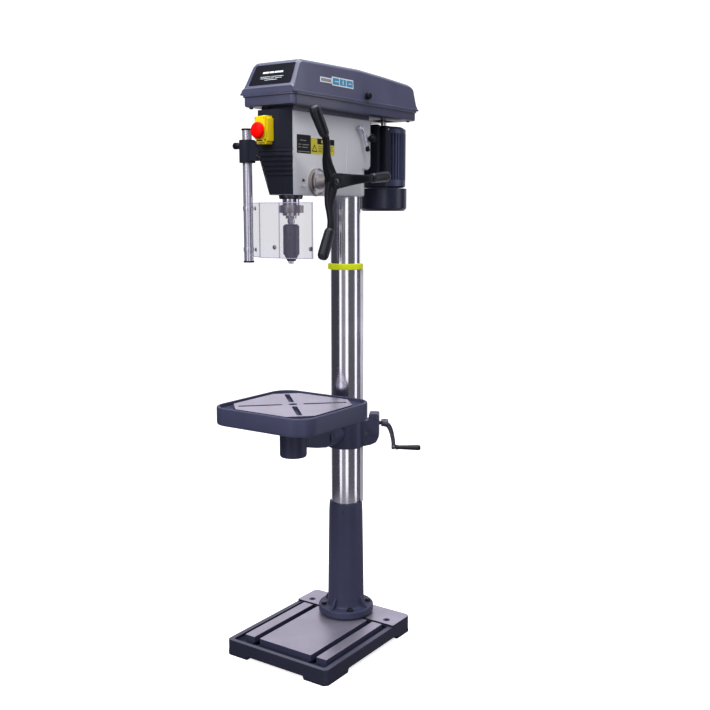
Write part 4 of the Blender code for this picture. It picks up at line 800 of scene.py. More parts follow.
def build_cover():
    """Moulded front cover with its ribs, and the ring under the head."""
    low, high = 1.353, HEAD_TOP
    stations, pitch = [(low, 0), (low + 0.002, 0)], 0.0125
    for k in range(6):
        z = 1.4010 + pitch * k
        stations += [(z, 0), (z + 0.0016, 1), (z + 0.0052, 1), (z + 0.0068, 0)]
    stations += [(1.4790, 0), (high - 0.003, 0), (high, 0)]
    sections = []
    for z, lift in stations:
        t = min(1.0, (z - low) / (TAPER_TOP - low))
        flank = TAPER_HALF + (HEAD_X - TAPER_HALF) * t
        back = TAPER_FRONT + (HEAD_FRONT - TAPER_FRONT) * t - 0.0006
        half, front = 0.028 + 0.006 * t, -0.3195 + (COVER_FRONT + 0.0003 + 0.3195) * t
        front += 0.0030 * (1 - lift) if 1.395 < z < 1.4765 else 0.0
        half -= 0.0030 * (1 - lift) if 1.395 < z < 1.4765 else 0.0
        pts = soften([(-flank, back, 0), (-half, front, 0.007), (half, front, 0.007), (flank, back, 0)],
                     0.006, True, 6)
        sections.append([(p.x, p.y, z) for p in pts])
    piece("cover_moulding", loft(sections), "black", "stand", "front_cover", sharp=24)
    ring = [(0.0241, 1.3507), (0.0335, 1.3507, 0.001), (0.0330, 1.3455, 0.002), (0.0315, 1.3400, 0.002),
            (0.0241, 1.3400)]
    piece("nose_ring", lathe(ring, (0, SPINDLE_Y, 0), ring=True, steps=96), "dark_steel", "stand")


def build_quill():
    """Quill, depth clamp, spindle nose and keyed chuck."""
    cy = (0, SPINDLE_Y, 0)
    ring = [(SPINDLE_R + 0.0003, 1.505), (QUILL_R, 1.505), (QUILL_R, 1.295, 0.0012),
            (SPINDLE_R + 0.0003, 1.295)]
    piece("quill_ground", lathe(ring, cy, ring=True, steps=96), "steel", "quill", "quill")
    band = lathe([(0.0238, 1.324), (0.030, 1.324, 0.0015), (0.030, 1.302, 0.0015), (0.0238, 1.302)], cy,
                 ring=True, steps=96)
    ears = [block((a, SPINDLE_Y - 0.008, 1.303), (b, SPINDLE_Y + 0.008, 1.323))
            for a, b in ((-0.038, -0.0285), (0.0285, 0.038))]
    piece("clamp_band", joined(band, *ears), "alloy", "quill", "quill_clamp", bevel=0.0010)
    keep("spindle", "steel", 0.0006)
    keep("chuck_arbor", "steel")

    def knurl(a, z):
        return 1 - (0.018 if math.cos(a * 30) > 0.2 and 1.192 < z < 1.230 else 0.0)

    body = lathe([(0, 1.244), (0.0081, 1.244), (0.0081, 1.2717), (0.0165, 1.2717),
                  (CHUCK_R, 1.2667, 0.002), (CHUCK_R, 1.237), (0.0195, 1.237), (0.0195, 1.186),
                  (0.0115, 1.170, 0.001), (0, 1.170)], cy, r=0.0006, steps=96)
    bores = []
    for k in range(3):
        a = math.radians(90 + 120 * k)
        tip = Vector((0.0042 * math.cos(a), SPINDLE_Y + 0.0042 * math.sin(a), 1.162))
        d = (Vector((0.0150 * math.cos(a), SPINDLE_Y + 0.0150 * math.sin(a), 1.206)) - tip).normalized()
        bores.append(rod(tip - d * 0.02, tip + d * 0.049, 0.0037, 24))
        b = a + math.pi / 3
        key = Vector((math.cos(b), math.sin(b), 0))
        bores.append(rod(key * 0.014 + Vector((0, SPINDLE_Y, 1.2475)),
                         key * 0.03 + Vector((0, SPINDLE_Y, 1.2475)), 0.0036, 24))
        jaw = carved(rod(tip, tip + d * 0.036, 0.0033, 32),
                     [block((-0.02, SPINDLE_Y - 0.02, 1.15), (0.02, SPINDLE_Y + 0.02, 1.1625))])
        piece(f"jaw_{k + 1}_ground", jaw, "steel", f"jaw_{k + 1}", f"chuck_jaw_{k + 1}")
    piece("chuck_core", carved(body, bores), "dark_steel", "spindle", "chuck_body")
    ring = [(0.0198, 1.2365), (CHUCK_R, 1.2365, 0.0015), (CHUCK_R, 1.231), (CHUCK_R, 1.2296),
            (CHUCK_R, 1.1926), (CHUCK_R, 1.1910), (CHUCK_R - 0.001, 1.188), (0.0198, 1.188)]
    piece("chuck_shell", lathe(ring, cy, ring=True, steps=240, r=0.0002, wave=knurl), "dark_steel",
          "chuck_sleeve", "chuck_sleeve", sharp=25)


# ---------------------------------------------------------------- feed

def build_feed():
    """Feed shaft, depth dial, dished hub with three arms, grips and return-spring cap."""
    keep("feed_shaft", "alloy")
    collar = lathe([(0.0095, 0.1044), (0.0187, 0.1044, 0.002), (0.0202, 0.0735, 0.001), (0.0095, 0.0735)],
                   FEED, X, 0.0006, 96, True)
    piece("feed_collar", collar, "alloy", "feed")

    def knurl(a, h):
        return 1 - (0.012 if math.cos(a * 48) > 0.1 and 0.0605 < h < 0.0688 else 0.0)

    ring = [(0.0093, 0.0728), (0.0295, 0.0728, 0.001), (0.0358, 0.0702, 0.0005), (0.0358, 0.0690),
            (0.0358, 0.0686), (0.0358, 0.0606), (0.0358, 0.0602), (0.0352, 0.0593), (0.0093, 0.0593)]
    piece("dial_ring", lathe(ring, FEED, X, 0.0002, 192, True, knurl), "alloy", "depth_dial",
          "depth_dial", sharp=25)
    piece("dial_face", lathe([(0.0212, 0.07275), (0.0290, 0.07275), (0.0290, 0.0729), (0.0212, 0.0729)],
                             FEED, X, 0, 96, True), "chrome", "depth_dial")
    ticks = []
    for k in range(60):
        a = math.tau * k / 60
        inner = 0.0255 if k % 5 == 0 else 0.0272
        bm = block((0.0729, -0.0002, inner), (0.0730, 0.0002, 0.0286))
        bmesh.ops.rotate(bm, verts=bm.verts, cent=(0, 0, 0), matrix=Matrix.Rotation(a, 3, "X"))
        bmesh.ops.translate(bm, verts=bm.verts, vec=FEED)
        ticks.append(bm)
    piece("dial_ticks", joined(*ticks), "satin_black", "depth_dial")
    hub = lathe([(0.0093, 0.1305), (0.0140, 0.1308, 0.001), (0.0225, 0.1290, 0.004),
                 (0.0242, 0.120, 0.004), (0.0235, 0.1052), (0.0093, 0.1052)], FEED, X, 0.001, 96, True)
    parts = [hub]
    for k, angle in enumerate(ARM_ANGLES):
        out, side = Vector((0, -math.cos(angle), math.sin(angle))), Vector((0, math.sin(angle),
            math.cos(angle)))
        sections = []
        for r, width, x, thick in ((0.006, 0.0440, 0.1175, 0.0200), (0.030, 0.0415, 0.1180, 0.0195),
                                   (0.050, 0.0365, 0.1205, 0.0185), (0.075, 0.0305, 0.1270, 0.0170),
                                   (0.100, 0.0250, 0.1385, 0.0160), (0.120, 0.0215, 0.1465, 0.0155),
                                   (0.134, 0.0195, 0.1495, 0.0155), (0.1396, 0.0190, 0.1500, 0.0150)):
            row = []
            for i in range(28):
                a = math.tau * i / 28
                ca, sa = math.cos(a), math.sin(a)
                u = math.copysign(abs(ca) ** 0.62, ca) * width / 2
                v = math.copysign(abs(sa) ** 0.62, sa) * thick / 2
                row.append(FEED + out * r + side * u + X * (x + v))
            sections.append(row)
        parts.append(loft(sections))
        mid = FEED + X * GRIP_X
        parts.append(rod(mid + out * 0.130, mid + out * 0.215, 0.005))
        length = GRIP_R1 - GRIP_R0
        grip = [(0, 0.077), (0.0053, 0.077, 0), (0.0053, 0.0003, 0), (0.0112, 0.0003, 0.003),
                (0.0138, 0.008, 0.006), (0.0148, 0.035, 0.03), (0.0155, 0.066, 0.015),
                (0.0150, 0.078, 0.006), (0.0108, length - 0.002, 0.006), (0.0045, length, 0.006),
                (0, length)]
        piece(f"grip_{k + 1}_moulding", lathe(grip, mid + out * GRIP_R0, out, 0.0008, 56), "rubber",
              "feed", f"grip_{k + 1}")
    piece("hub_casting", joined(*parts), "satin_black", "feed", "feed_hub", sharp=40)
    bolt = joined(lathe([(0, 0.1295), (0.0090, 0.1295), (0.0090, 0.1306, 0.0004), (0, 0.1306)], FEED, X,
                        0.0002, 48), lathe([(0, 0.1304), (0.0058, 0.1304), (0.0058, 0.1344),
                                            (0.0050, 0.1352), (0, 0.1352)], FEED, X, 0.0001, 6))
    piece("hub_bolt", bolt, "dark_steel", "feed")
    cup = [(0, 0.086), (0.027, 0.086, 0.003), (0.031, 0.082, 0.002), (0.031, 0.059), (0.028, 0.059),
           (0.028, 0.082), (0, 0.082)]
    piece("spring_cap", lathe(cup, FEED, -X, 0.0006, 96), "satin_black", "stand", "return_spring_cap")
    piece("spring_cap_nut", lathe([(0, 0.0858), (0.010, 0.0858), (0.010, 0.0862), (0, 0.0862)], FEED, -X,
                                  0, 6), "dark_steel", "stand")


# ---------------------------------------------------------------- belt drive, tray and lid

def pulley(radii, hub_r, low, high, bore):
    """Stepped pulley profile with a V groove in each step."""
    top = STEP_Z + STEP_H * len(radii)
    pts = [(bore, high, 0.0005), (hub_r, high, 0.001), (hub_r, top, 0)]
    for k in reversed(range(len(radii))):
        r, z = radii[k], STEP_Z + STEP_H * k
        pts += [(r, z + STEP_H - 0.0005), (r, z + 0.0132), (r - 0.0085, z + 0.0105),
                (r - 0.0085, z + 0.0055), (r, z + 0.0028), (r, z + 0.0005)]
    return pts + [(hub_r, STEP_Z, 0), (hub_r, low), (bore, low)]


def build_drive():
    """Grooved pulleys, the idler's carrier and two V belts."""
    for name, radii, hub_r, low, high, bore, y, body in (("spindle_pulley", SPINDLE_STEPS, 0.021, 1.520,
            1.668, 0.0128, SPINDLE_Y, "spindle_pulley"), ("idler_pulley", IDLER_STEPS, 0.014, 1.5985,
            1.666, 0.0063, IDLER_Y, "idler_pulley"), ("motor_pulley", MOTOR_STEPS, 0.016, 1.597, 1.668,
            0.0098, MOTOR_Y, "rotor")):
        piece(name + "_turned", lathe(pulley(radii, hub_r, low, high, bore), (0, y, 0), r=0.0004,
                                      steps=96, ring=True), "alloy", body, name, sharp=25)
    keep("motor_shaft", "steel", 0.0005)
    keep("idler_arm", "dark_steel", 0.0008)
    for name, ya, ra, yb, rb, z in (("front_belt", SPINDLE_Y, SPINDLE_STEPS[1], IDLER_Y, IDLER_STEPS[1],
                                     STEP_Z + 1.5 * STEP_H), ("rear_belt", IDLER_Y, IDLER_STEPS[2],
            MOTOR_Y, MOTOR_STEPS[2], STEP_Z + 2.5 * STEP_H)):
        tilt, rows = math.asin((rb - ra) / (yb - ya)), []
        for grow, h in ((-0.0055, -0.0025), (0.0006, -0.0048), (0.0016, -0.0044), (0.0016, 0.0044),
                        (0.0006, 0.0048), (-0.0055, 0.0025)):
            row = []
            for cy, r, start, sweep_by in ((yb, rb, -tilt, math.pi + 2 * tilt),
                                           (ya, ra, math.pi + tilt, math.pi - 2 * tilt)):
                for k in range(41):
                    a = start + sweep_by * k / 40
                    row.append(((r + grow) * math.cos(a), cy + (r + grow) * math.sin(a), z + h))
            rows.append(row)
        bm = bmesh.new()
        verts = [[bm.verts.new(p) for p in row] for row in rows]
        for i, row in enumerate(verts):
            nxt = verts[(i + 1) % len(verts)]
            for k in range(len(row)):
                j = (k + 1) % len(row)
                bm.faces.new((row[k], row[j], nxt[j], nxt[k]))
        piece(name + "_vee", bm, "belt", "stand", name, sharp=40)


def build_tray():
    """Belt tray with its lip, mounting flange and openings."""
    a, y0, y1, z0, z1 = TRAY_X, TRAY_FRONT, TRAY_REAR, TRAY_LOW, TRAY_TOP
    tray = loft([[(*p, z) for p in oblong(a - k, y0 + k, y1 - k, 0.014 - k, 6)]
                 for k, z in ((0.004, z0), (0.001, z0 + 0.0015), (0, z0 + 0.005), (0, z1))])
    lip = loft([[(*p, z) for p in oblong(a + LIP - k, y0 - LIP + k, y1 + LIP - k, 0.017 - k, 6)]
                for k, z in ((0.004, z1 - 0.0062), (0.001, z1 - 0.0050), (0, z1 - 0.0040),
                             (0, z1 - 0.0008), (0.0008, z1))])
    flange = block((-0.054, -0.318, HEAD_TOP + 0.0003), (0.054, 0.044, z0 + 0.002))
    wall = 0.004
    cuts = [prism(oblong(a - wall, y0 + wall, y1 - wall, 0.010, 6), z0 + wall, z1 + 0.01),
            rod((0, SPINDLE_Y, 1.56), (0, SPINDLE_Y, 1.60), 0.0235, 64),
            rod((0, -0.105, 1.56), (0, -0.105, 1.60), 0.0063),
            block((-0.026, 0.160, 1.57), (0.026, 0.236, 1.60))]
    piece("tray_pressing", carved(tray, cuts, [flange, lip]), "paint", "stand", "belt_tray", sharp=28)
    for k, (x, y) in enumerate(((-0.079, -0.331), (-0.029, -0.325), (0.070, -0.331), (0.072, 0.090),
                                (-0.072, 0.090), (0.072, 0.236), (-0.072, 0.236))):
        piece(f"tray_bolt_{k + 1}", hex_bolt((x, y, z0), -Z, 0.0050, 0.0040), "dark_steel", "stand")


def lid_section(y, top, drop=0.0, z0=TRAY_TOP + 0.0003, lip=LIP, curve=5):
    """Cross-section of the lid at one station, shrunk by a wall if asked."""
    a, z1 = TRAY_X - drop, z0 + 0.005
    edge = a - 0.0085 * min(1.0, (top - z1) / 0.08)
    r = min(0.011, max(0.001, (top - z1) * 0.6))
    half = [(a + lip, z0, 0), (a + lip, z1, 0.0012), (a + 0.0006, z1 + 0.0005, 0.0012),
            (edge, top - r * 0.62, r * 0.9), (edge - r * 0.9, top, r * 1.1)]
    line = soften(half, 0.002, False, curve) + [Vector((edge - r * 0.9 - 0.004, top))]
    left = [(-p.x, y, p.y) for p in line]
    return left + [(p.x, y, p.y) for p in reversed(line)]


def lid_top(y):
    """Height of the lid's ridge at a station."""
    points = ((TRAY_FRONT - LIP, 1.630), (-0.3545, 1.6345), (-0.3205, 1.6965), (-0.3160, 1.7000),
              (-0.3080, 1.7025), (-0.040, 1.7068), (0.099, 1.701), (0.2300, 1.6930), (0.2440, 1.6905),
              (0.2520, 1.6855), (0.2600, 1.6450), (TRAY_REAR + LIP, 1.630))
    for (ya, za), (yb, zb) in zip(points, points[1:]):
        if y <= yb:
            return za + (zb - za) * (y - ya) / (yb - ya)
    return points[-1][1]


def build_lid():
    """Hinged belt guard with its panel, badge, rear hinges and catch."""
    stations = [TRAY_FRONT - LIP, -0.3585, -0.3545, -0.346, -0.333, -0.3240, -0.3205, -0.3185, -0.3160,
                -0.3120, -0.3080, -0.300, -0.22, -0.13, -0.040, 0.03, 0.099, 0.17, 0.2300, 0.2380, 0.2440,
                0.2490, 0.2520, 0.2560, 0.2600, 0.2630, TRAY_REAR + LIP]
    shell = loft([lid_section(y, lid_top(y)) for y in stations])
    hollow = loft([lid_section(y, lid_top(y) - (0.0035 if -0.31 < y < 0.25 else 0.006), 0.0035,
                               TRAY_TOP - 0.01, 0.0, 3) for y in (TRAY_FRONT + 0.004, -0.333, -0.317,
        -0.304, -0.040, 0.099, 0.234, 0.249, TRAY_REAR - 0.006)])
    hole = rod((0.07, CATCH_Y, CATCH_Z), (0.10, CATCH_Y, CATCH_Z), 0.0045)
    piece("lid_shell", carved(shell, [hollow, hole]), "paint", "lid", "belt_lid", sharp=24)
    knob = lathe([(0, 0.1025), (0.008, 0.1025, 0.002), (0.010, 0.0985, 0.001), (0.010, 0.0905),
                  (0.0042, 0.0895), (0.0042, 0.079), (0, 0.079)], (0, CATCH_Y, CATCH_Z), X, 0.0006, 48)
    piece("catch_knob", knob, "satin_black", "lid_catch", "lid_catch")
    foot, brow = Vector((0, -0.3545, 1.6345)), Vector((0, -0.3205, 1.6965))
    up = (brow - foot).normalized()
    low, high = foot + up * 0.0035, brow - up * 0.0040
    outline = soften([(-0.0690, 0), (0.0735, 0), (0.0690, (high - low).length),
                      (-0.0640, (high - low).length)], 0.0045)
    matrix = Matrix((X, up, Vector((0, -up.z, up.y)))).transposed().to_4x4()
    matrix.translation = low
    piece("name_panel", prism(outline, -0.0004, 0.0006, matrix), "satin_black", "lid", bevel=0.0003)
    bars = ((-0.032, -0.010, 0.0350, 0.0400), (-0.0075, 0.005, 0.0350, 0.0400),
            (0.0075, 0.036, 0.0350, 0.0400), (-0.036, -0.002, 0.0235, 0.0247),
            (0.001, 0.042, 0.0235, 0.0247), (-0.034, 0.012, 0.0185, 0.0197),
            (0.015, 0.038, 0.0185, 0.0197), (-0.018, 0.024, 0.0135, 0.0147))
    for k, (x0, x1, v0, v1) in enumerate(bars):
        piece(f"panel_bar_{k}", prism(soften([(x0, v0), (x1, v0), (x1, v1), (x0, v1)], 0.0004), 0.0006,
                                      0.0008, matrix), "label_white", "lid")
    z0, z1 = TRAY_TOP + 0.0058, 1.6985
    side_up = Vector((-0.0085, 0, z1 - z0))
    base = Vector((TRAY_X + 0.0006, -0.238, z0)) + side_up * ((1.6480 - z0) / (z1 - z0))
    frame_m = Matrix((Y, side_up.normalized(), Y.cross(side_up.normalized()))).transposed().to_4x4()
    frame_m.translation = base
    for name, y0, y1, v0, v1, h, look in (("badge_mark", 0.000, 0.052, 0.003, 0.017, 0.0003,
                                           "label_white"), ("badge_mark_core", 0.003, 0.049, 0.006, 0.014,
            0.0005, "label_grey"), ("badge_word", 0.054, 0.156, -0.001, 0.023, 0.0003, "label_white"),
                                          ("badge_word_1", 0.057, 0.087, 0.002, 0.020, 0.0005,
                                           "label_blue"), ("badge_word_2", 0.090, 0.120, 0.002, 0.020,
            0.0005, "label_blue"), ("badge_word_3", 0.123, 0.153, 0.002, 0.020, 0.0005, "label_blue"),
                                          ("badge_slit_1", 0.066, 0.090, 0.010, 0.012, 0.0007,
                                           "label_white"), ("badge_slit_2", 0.104, 0.107, 0.005, 0.017,
            0.0007, "label_white"), ("badge_slit_3", 0.132, 0.146, 0.010, 0.012, 0.0007, "label_white")):
        piece(name, prism(soften([(y0, v0), (y1, v0), (y1 + 0.002, v1), (y0 + 0.002, v1)], 0.0012),
                          -0.0006, h, frame_m), look, "lid")
    for k, y in enumerate((-0.26, 0.17)):
        leaf = block((-0.0928, y - 0.022, TRAY_TOP + 0.0006), (-0.0905, y + 0.022, TRAY_TOP + 0.012))
        piece(f"lid_hinge_leaf_{k + 1}", leaf, "dark_steel", "lid", bevel=0.0006)


# ---------------------------------------------------------------- motor

def build_motor():
    """Finned motor, its plate and bars, fan cowl, terminal box, lever and lock knob."""
    cy = MOTOR_Y
    z0, z1 = MOTOR_LOW, MOTOR_TOP
    fins, count = [], 40
    for k in range(count):
        a0 = math.tau * k / count
        for f, r in ((0.0, 0.0640), (0.16, 0.0640), (0.30, 0.0697), (0.62, 0.0697), (0.76, 0.0640)):
            a = a0 + math.tau * f / count
            fins.append((r * math.cos(a), r * math.sin(a)))
    core = loft([[(x, cy + y, z) for x, y in fins] for z in (z0 + 0.022, z1 - 0.020)])
    lower = lathe([(0.0105, z0), (0.062, z0, 0.003), (0.0695, z0 + 0.004, 0.003),
                   (0.0695, z0 + 0.024, 0.001), (0.0105, z0 + 0.024)], (0, cy, 0), ring=True, steps=128)
    upper = lathe([(0.0105, z1 - 0.022), (0.0695, z1 - 0.022, 0.001), (0.0695, z1 - 0.008, 0.004),
                   (0.058, z1 - 0.001, 0.004), (0.0105, z1)], (0, cy, 0), ring=True, steps=128)
    saddle = block((-0.040, 0.1103, 1.400), (0.040, 0.160, 1.556))
    piece("motor_core", carved(core, [rod((0, cy, z0 - 0.01), (0, cy, z1 + 0.01), 0.0105)]), "navy",
          "motor", "motor_body", sharp=20)
    piece("motor_bells", joined(lower, upper), "navy", "motor")
    piece("motor_saddle", carved(saddle, [rod((0, cy, 1.37), (0, cy, 1.58), 0.063, 64)]), "navy", "motor",
          bevel=0.0015)
    for k in range(4):
        a = math.radians(45 + 90 * k)
        at = Vector((0.060 * math.cos(a), cy + 0.060 * math.sin(a), z1 - 0.0045))
        piece(f"motor_tie_{k + 1}", hex_bolt(at, Z, 0.0040, 0.0042, False), "dark_steel", "motor")
    plate_body = prism(soften([(-0.052, 1.392), (0.052, 1.392), (0.052, 1.566), (-0.052, 1.566)], 0.006),
                       -0.110, -0.096, Matrix.Rotation(math.pi / 2, 4, "X"))
    bars = [rod((s * SLIDE_X, -0.045, SLIDE_Z), (s * SLIDE_X, 0.098, SLIDE_Z), 0.009) for s in (-1, 1)]
    piece("slide_plate", plate_body, "black", "motor", "motor_plate", bevel=0.0015)
    piece("slide_bars", joined(*bars), "ground_x", "motor")
    low, high = COWL_LOW, COWL_TOP
    cup = lathe([(0, low + 0.003), (COWL_R - 0.006, low + 0.003), (COWL_R - 0.003, low + 0.008),
                 (COWL_R - 0.003, high), (COWL_R, high, 0.001), (COWL_R, low + 0.008, 0.006),
                 (COWL_R - 0.008, low, 0.003), (0, low)], (0, cy, 0), r=0.001, steps=128)
    slots = []
    for k in range(20):
        a = math.tau * k / 20
        for r0, r1 in ((0.018, 0.036), (0.042, 0.060)):
            matrix = Matrix.Translation((0, cy, 0)) @ Matrix.Rotation(a + (0.157 if r0 > 0.04 else 0), 4,
                "Z")
            slots.append(prism([(r0, -0.0016), (r1, -0.0016), (r1, 0.0016), (r0, 0.0016)], low - 0.004,
                               low + 0.006, matrix))
    piece("cowl_pressing", carved(cup, [joined(*slots)]), "cowl", "motor", "fan_cowl", sharp=30)
    seam = lathe([(COWL_R - 0.0004, 1.3600), (COWL_R - 0.0001, 1.3605), (COWL_R - 0.0001, 1.3630),
                  (COWL_R - 0.0004, 1.3635)], (0, cy, 0), ring=True, r=0, steps=128)
    piece("cowl_seam", seam, "navy", "motor")
    for k in range(4):
        a = math.radians(-62 + 90 * k)
        d = Vector((math.cos(a), math.sin(a), 0))
        piece(f"cowl_screw_{k + 1}", socket_screw(Vector((0, cy, 1.371)) + d * (COWL_R - 0.0032), d,
                                                  0.0036, 0.0030), "chrome", "motor")
    box = prism(soften([(0.0410, 0.1103), (0.070, 0.1103), (0.070, 0.1400), (0.0410, 0.1400)], 0.003),
                1.398, 1.562)
    piece("terminal_housing", box, "satin_black", "motor", "terminal_box", bevel=0.0018)
    lid = prism(soften([(0.1120, 1.402), (0.1385, 1.402), (0.1385, 1.558), (0.1120, 1.558)], 0.003),
                0.0695, 0.0712, side_frame())
    piece("terminal_lid", lid, "black", "motor", bevel=0.0006)
    screws("terminal_screw", [(0.0710, 0.1250, z) for z in (1.408, 1.552)], X, (0.0030, 0.0016), "chrome",
           "motor")
    gland = lathe([(0, 0), (0.0095, 0), (0.0095, 0.008), (0.0075, 0.0095), (0.0075, 0.016), (0, 0.016)],
                  (0.0555, 0.1250, 1.3985), -Z, 0.0006, 32)
    piece("cable_gland", gland, "rubber", "motor")
    for k in range(6):
        d = math.tau * k / 6
        blade = block((0.012, -0.0012, 1.326), (0.058, 0.0012, 1.352))
        bmesh.ops.rotate(blade, verts=blade.verts, cent=(0, 0, 0), matrix=Matrix.Rotation(d, 3, "Z"))
        bmesh.ops.translate(blade, verts=blade.verts, vec=(0, cy, 0))
        piece(f"fan_blade_{k + 1}", blade, "black", "rotor", bevel=0.0005)
    at = Vector((0, LEVER_Y, LEVER_Z))
    shaft = lathe([(0, 0.0735), (0.0068, 0.0735, 0.001), (0.0078, 0.066, 0.002), (0.0052, 0.060),
                   (0.0052, 0.041), (0, 0.041)], at, X, 0.0008, 40)
    bend = sweep(((0.068, -0.026, 1.547), (0.0700, -0.016, 1.5435), (0.0702, -0.007, 1.534),
                  (0.0702, 0.000, 1.519), (0.0704, 0.0055, 1.503), (0.0716, 0.010, 1.490)),
                 (0.0050, 0.0052, 0.0050, 0.0047, 0.0044, 0.0042), 24)
    tip = lathe([(0, -0.008), (0.0046, -0.008, 0.001), (0.0066, 0.002, 0.004), (0.0062, 0.007, 0.003),
                 (0, 0.0095)], (0.0717, 0.0108, 1.4885), Vector((0.05, 0.25, -0.96)), 0.0012, 40)
    piece("tension_rod", joined(shaft, bend), "chrome", "tension_lever", "tension_lever")
    piece("tension_tip", tip, "satin_black", "tension_lever")

    def lobes(a, h):
        return 1 - 0.06 * (0.5 + 0.5 * math.cos(a * 6)) if h > 0.066 else 1.0

    knob = lathe([(0, 0.0818), (0.009, 0.0818, 0.002), (0.0108, 0.078, 0.001), (0.0108, 0.067, 0.001),
                  (0.007, 0.062), (0.0042, 0.060), (0.0042, 0.047), (0, 0.047)], (0, KNOB_Y, KNOB_Z), X,
                 0.0006, 96, wave=lobes)
    piece("slide_knob", knob, "satin_black", "slide_lock_knob", "slide_lock_knob")


# ---------------------------------------------------------------- switch and guard

def build_switch():
    """No-volt switch: housing, flap, mushroom stop and start button."""
    back, front_turn = COVER_FRONT - 0.0003, Matrix.Rotation(math.pi / 2, 4, "X")
    half = SWITCH_HALF
    outline = soften([(-0.0150, 1.4825), (0.0150, 1.4825), (0.0155, 1.4895), (half, 1.4900),
                      (half, 1.5490), (0.0155, 1.5495), (0.0150, 1.5555), (0.0030, 1.5555),
                      (0.0025, 1.5510), (-0.0150, 1.5510), (-0.0155, 1.5495), (-half, 1.5490),
                      (-half, 1.4900), (-0.0155, 1.4895)], 0.0015)
    body = carved(prism(outline, -back, 0.384, front_turn),
                  [block((-0.0150, -0.40, 1.4915), (0.0150, -0.366, 1.5475)),
                   rod((0, -0.37, START_Z), (0, -0.35925, START_Z), 0.0083)])
    piece("switch_housing", body, "yellow", "stand", "switch_box", bevel=0.0010, segments=2)
    button = lathe([(0, 0), (0.0075, 0), (0.0075, -0.010, 0.001), (0, -0.010)], (0, -0.3725, START_Z), -Y,
                   0.0004, 40)
    piece("start_cap", button, "green", "start_button", "start_button")
    outline = soften([(-0.0125, 1.4865), (0.0125, 1.4865), (0.0135, 1.4935), (FLAP_HALF, 1.4945),
                      (FLAP_HALF, 1.5480), (0.0170, 1.5535), (-0.0170, 1.5535), (-FLAP_HALF, 1.5480),
                      (-FLAP_HALF, 1.4945), (-0.0135, 1.4935)], 0.002)
    flap = carved(prism(outline, 0.3843, FLAP_FACE, front_turn),
                  [rod((0, -0.40, STOP_Z), (0, -0.37, STOP_Z), 0.0093)])
    piece("flap_moulding", flap, "yellow", "switch_flap", "switch_flap", bevel=0.0012, segments=3)
    dome = [(0, 0.026), (0.0080, 0.0258, 0.004), (0.0185, 0.0230, 0.007), (0.0215, 0.0175, 0.003),
            (0.0215, 0.0137, 0.001), (0.009, 0.0130), (0.009, -0.002), (0, -0.002)]
    piece("stop_dome", lathe(dome, (0, -0.384, STOP_Z), -Y, 0.0008, 72), "red", "stop_mushroom",
          "stop_mushroom")
    screws("flap_screw", [(x, -0.3912, 1.5485) for x in (-0.0140, 0.0140)], -Y, (0.0018, 0.0008),
           "dark_steel", "switch_flap")
    # A thin black plate stands in for the flap's slot: painted shade, not an opening.
    plate(((-0.0105, -FLAP_FACE, 1.4890), (0.021, 0, 0), (0, 0, 0.0030)), 0.0002, "satin_black",
          "flap_slot_shade", "switch_flap", 0, 0.001)


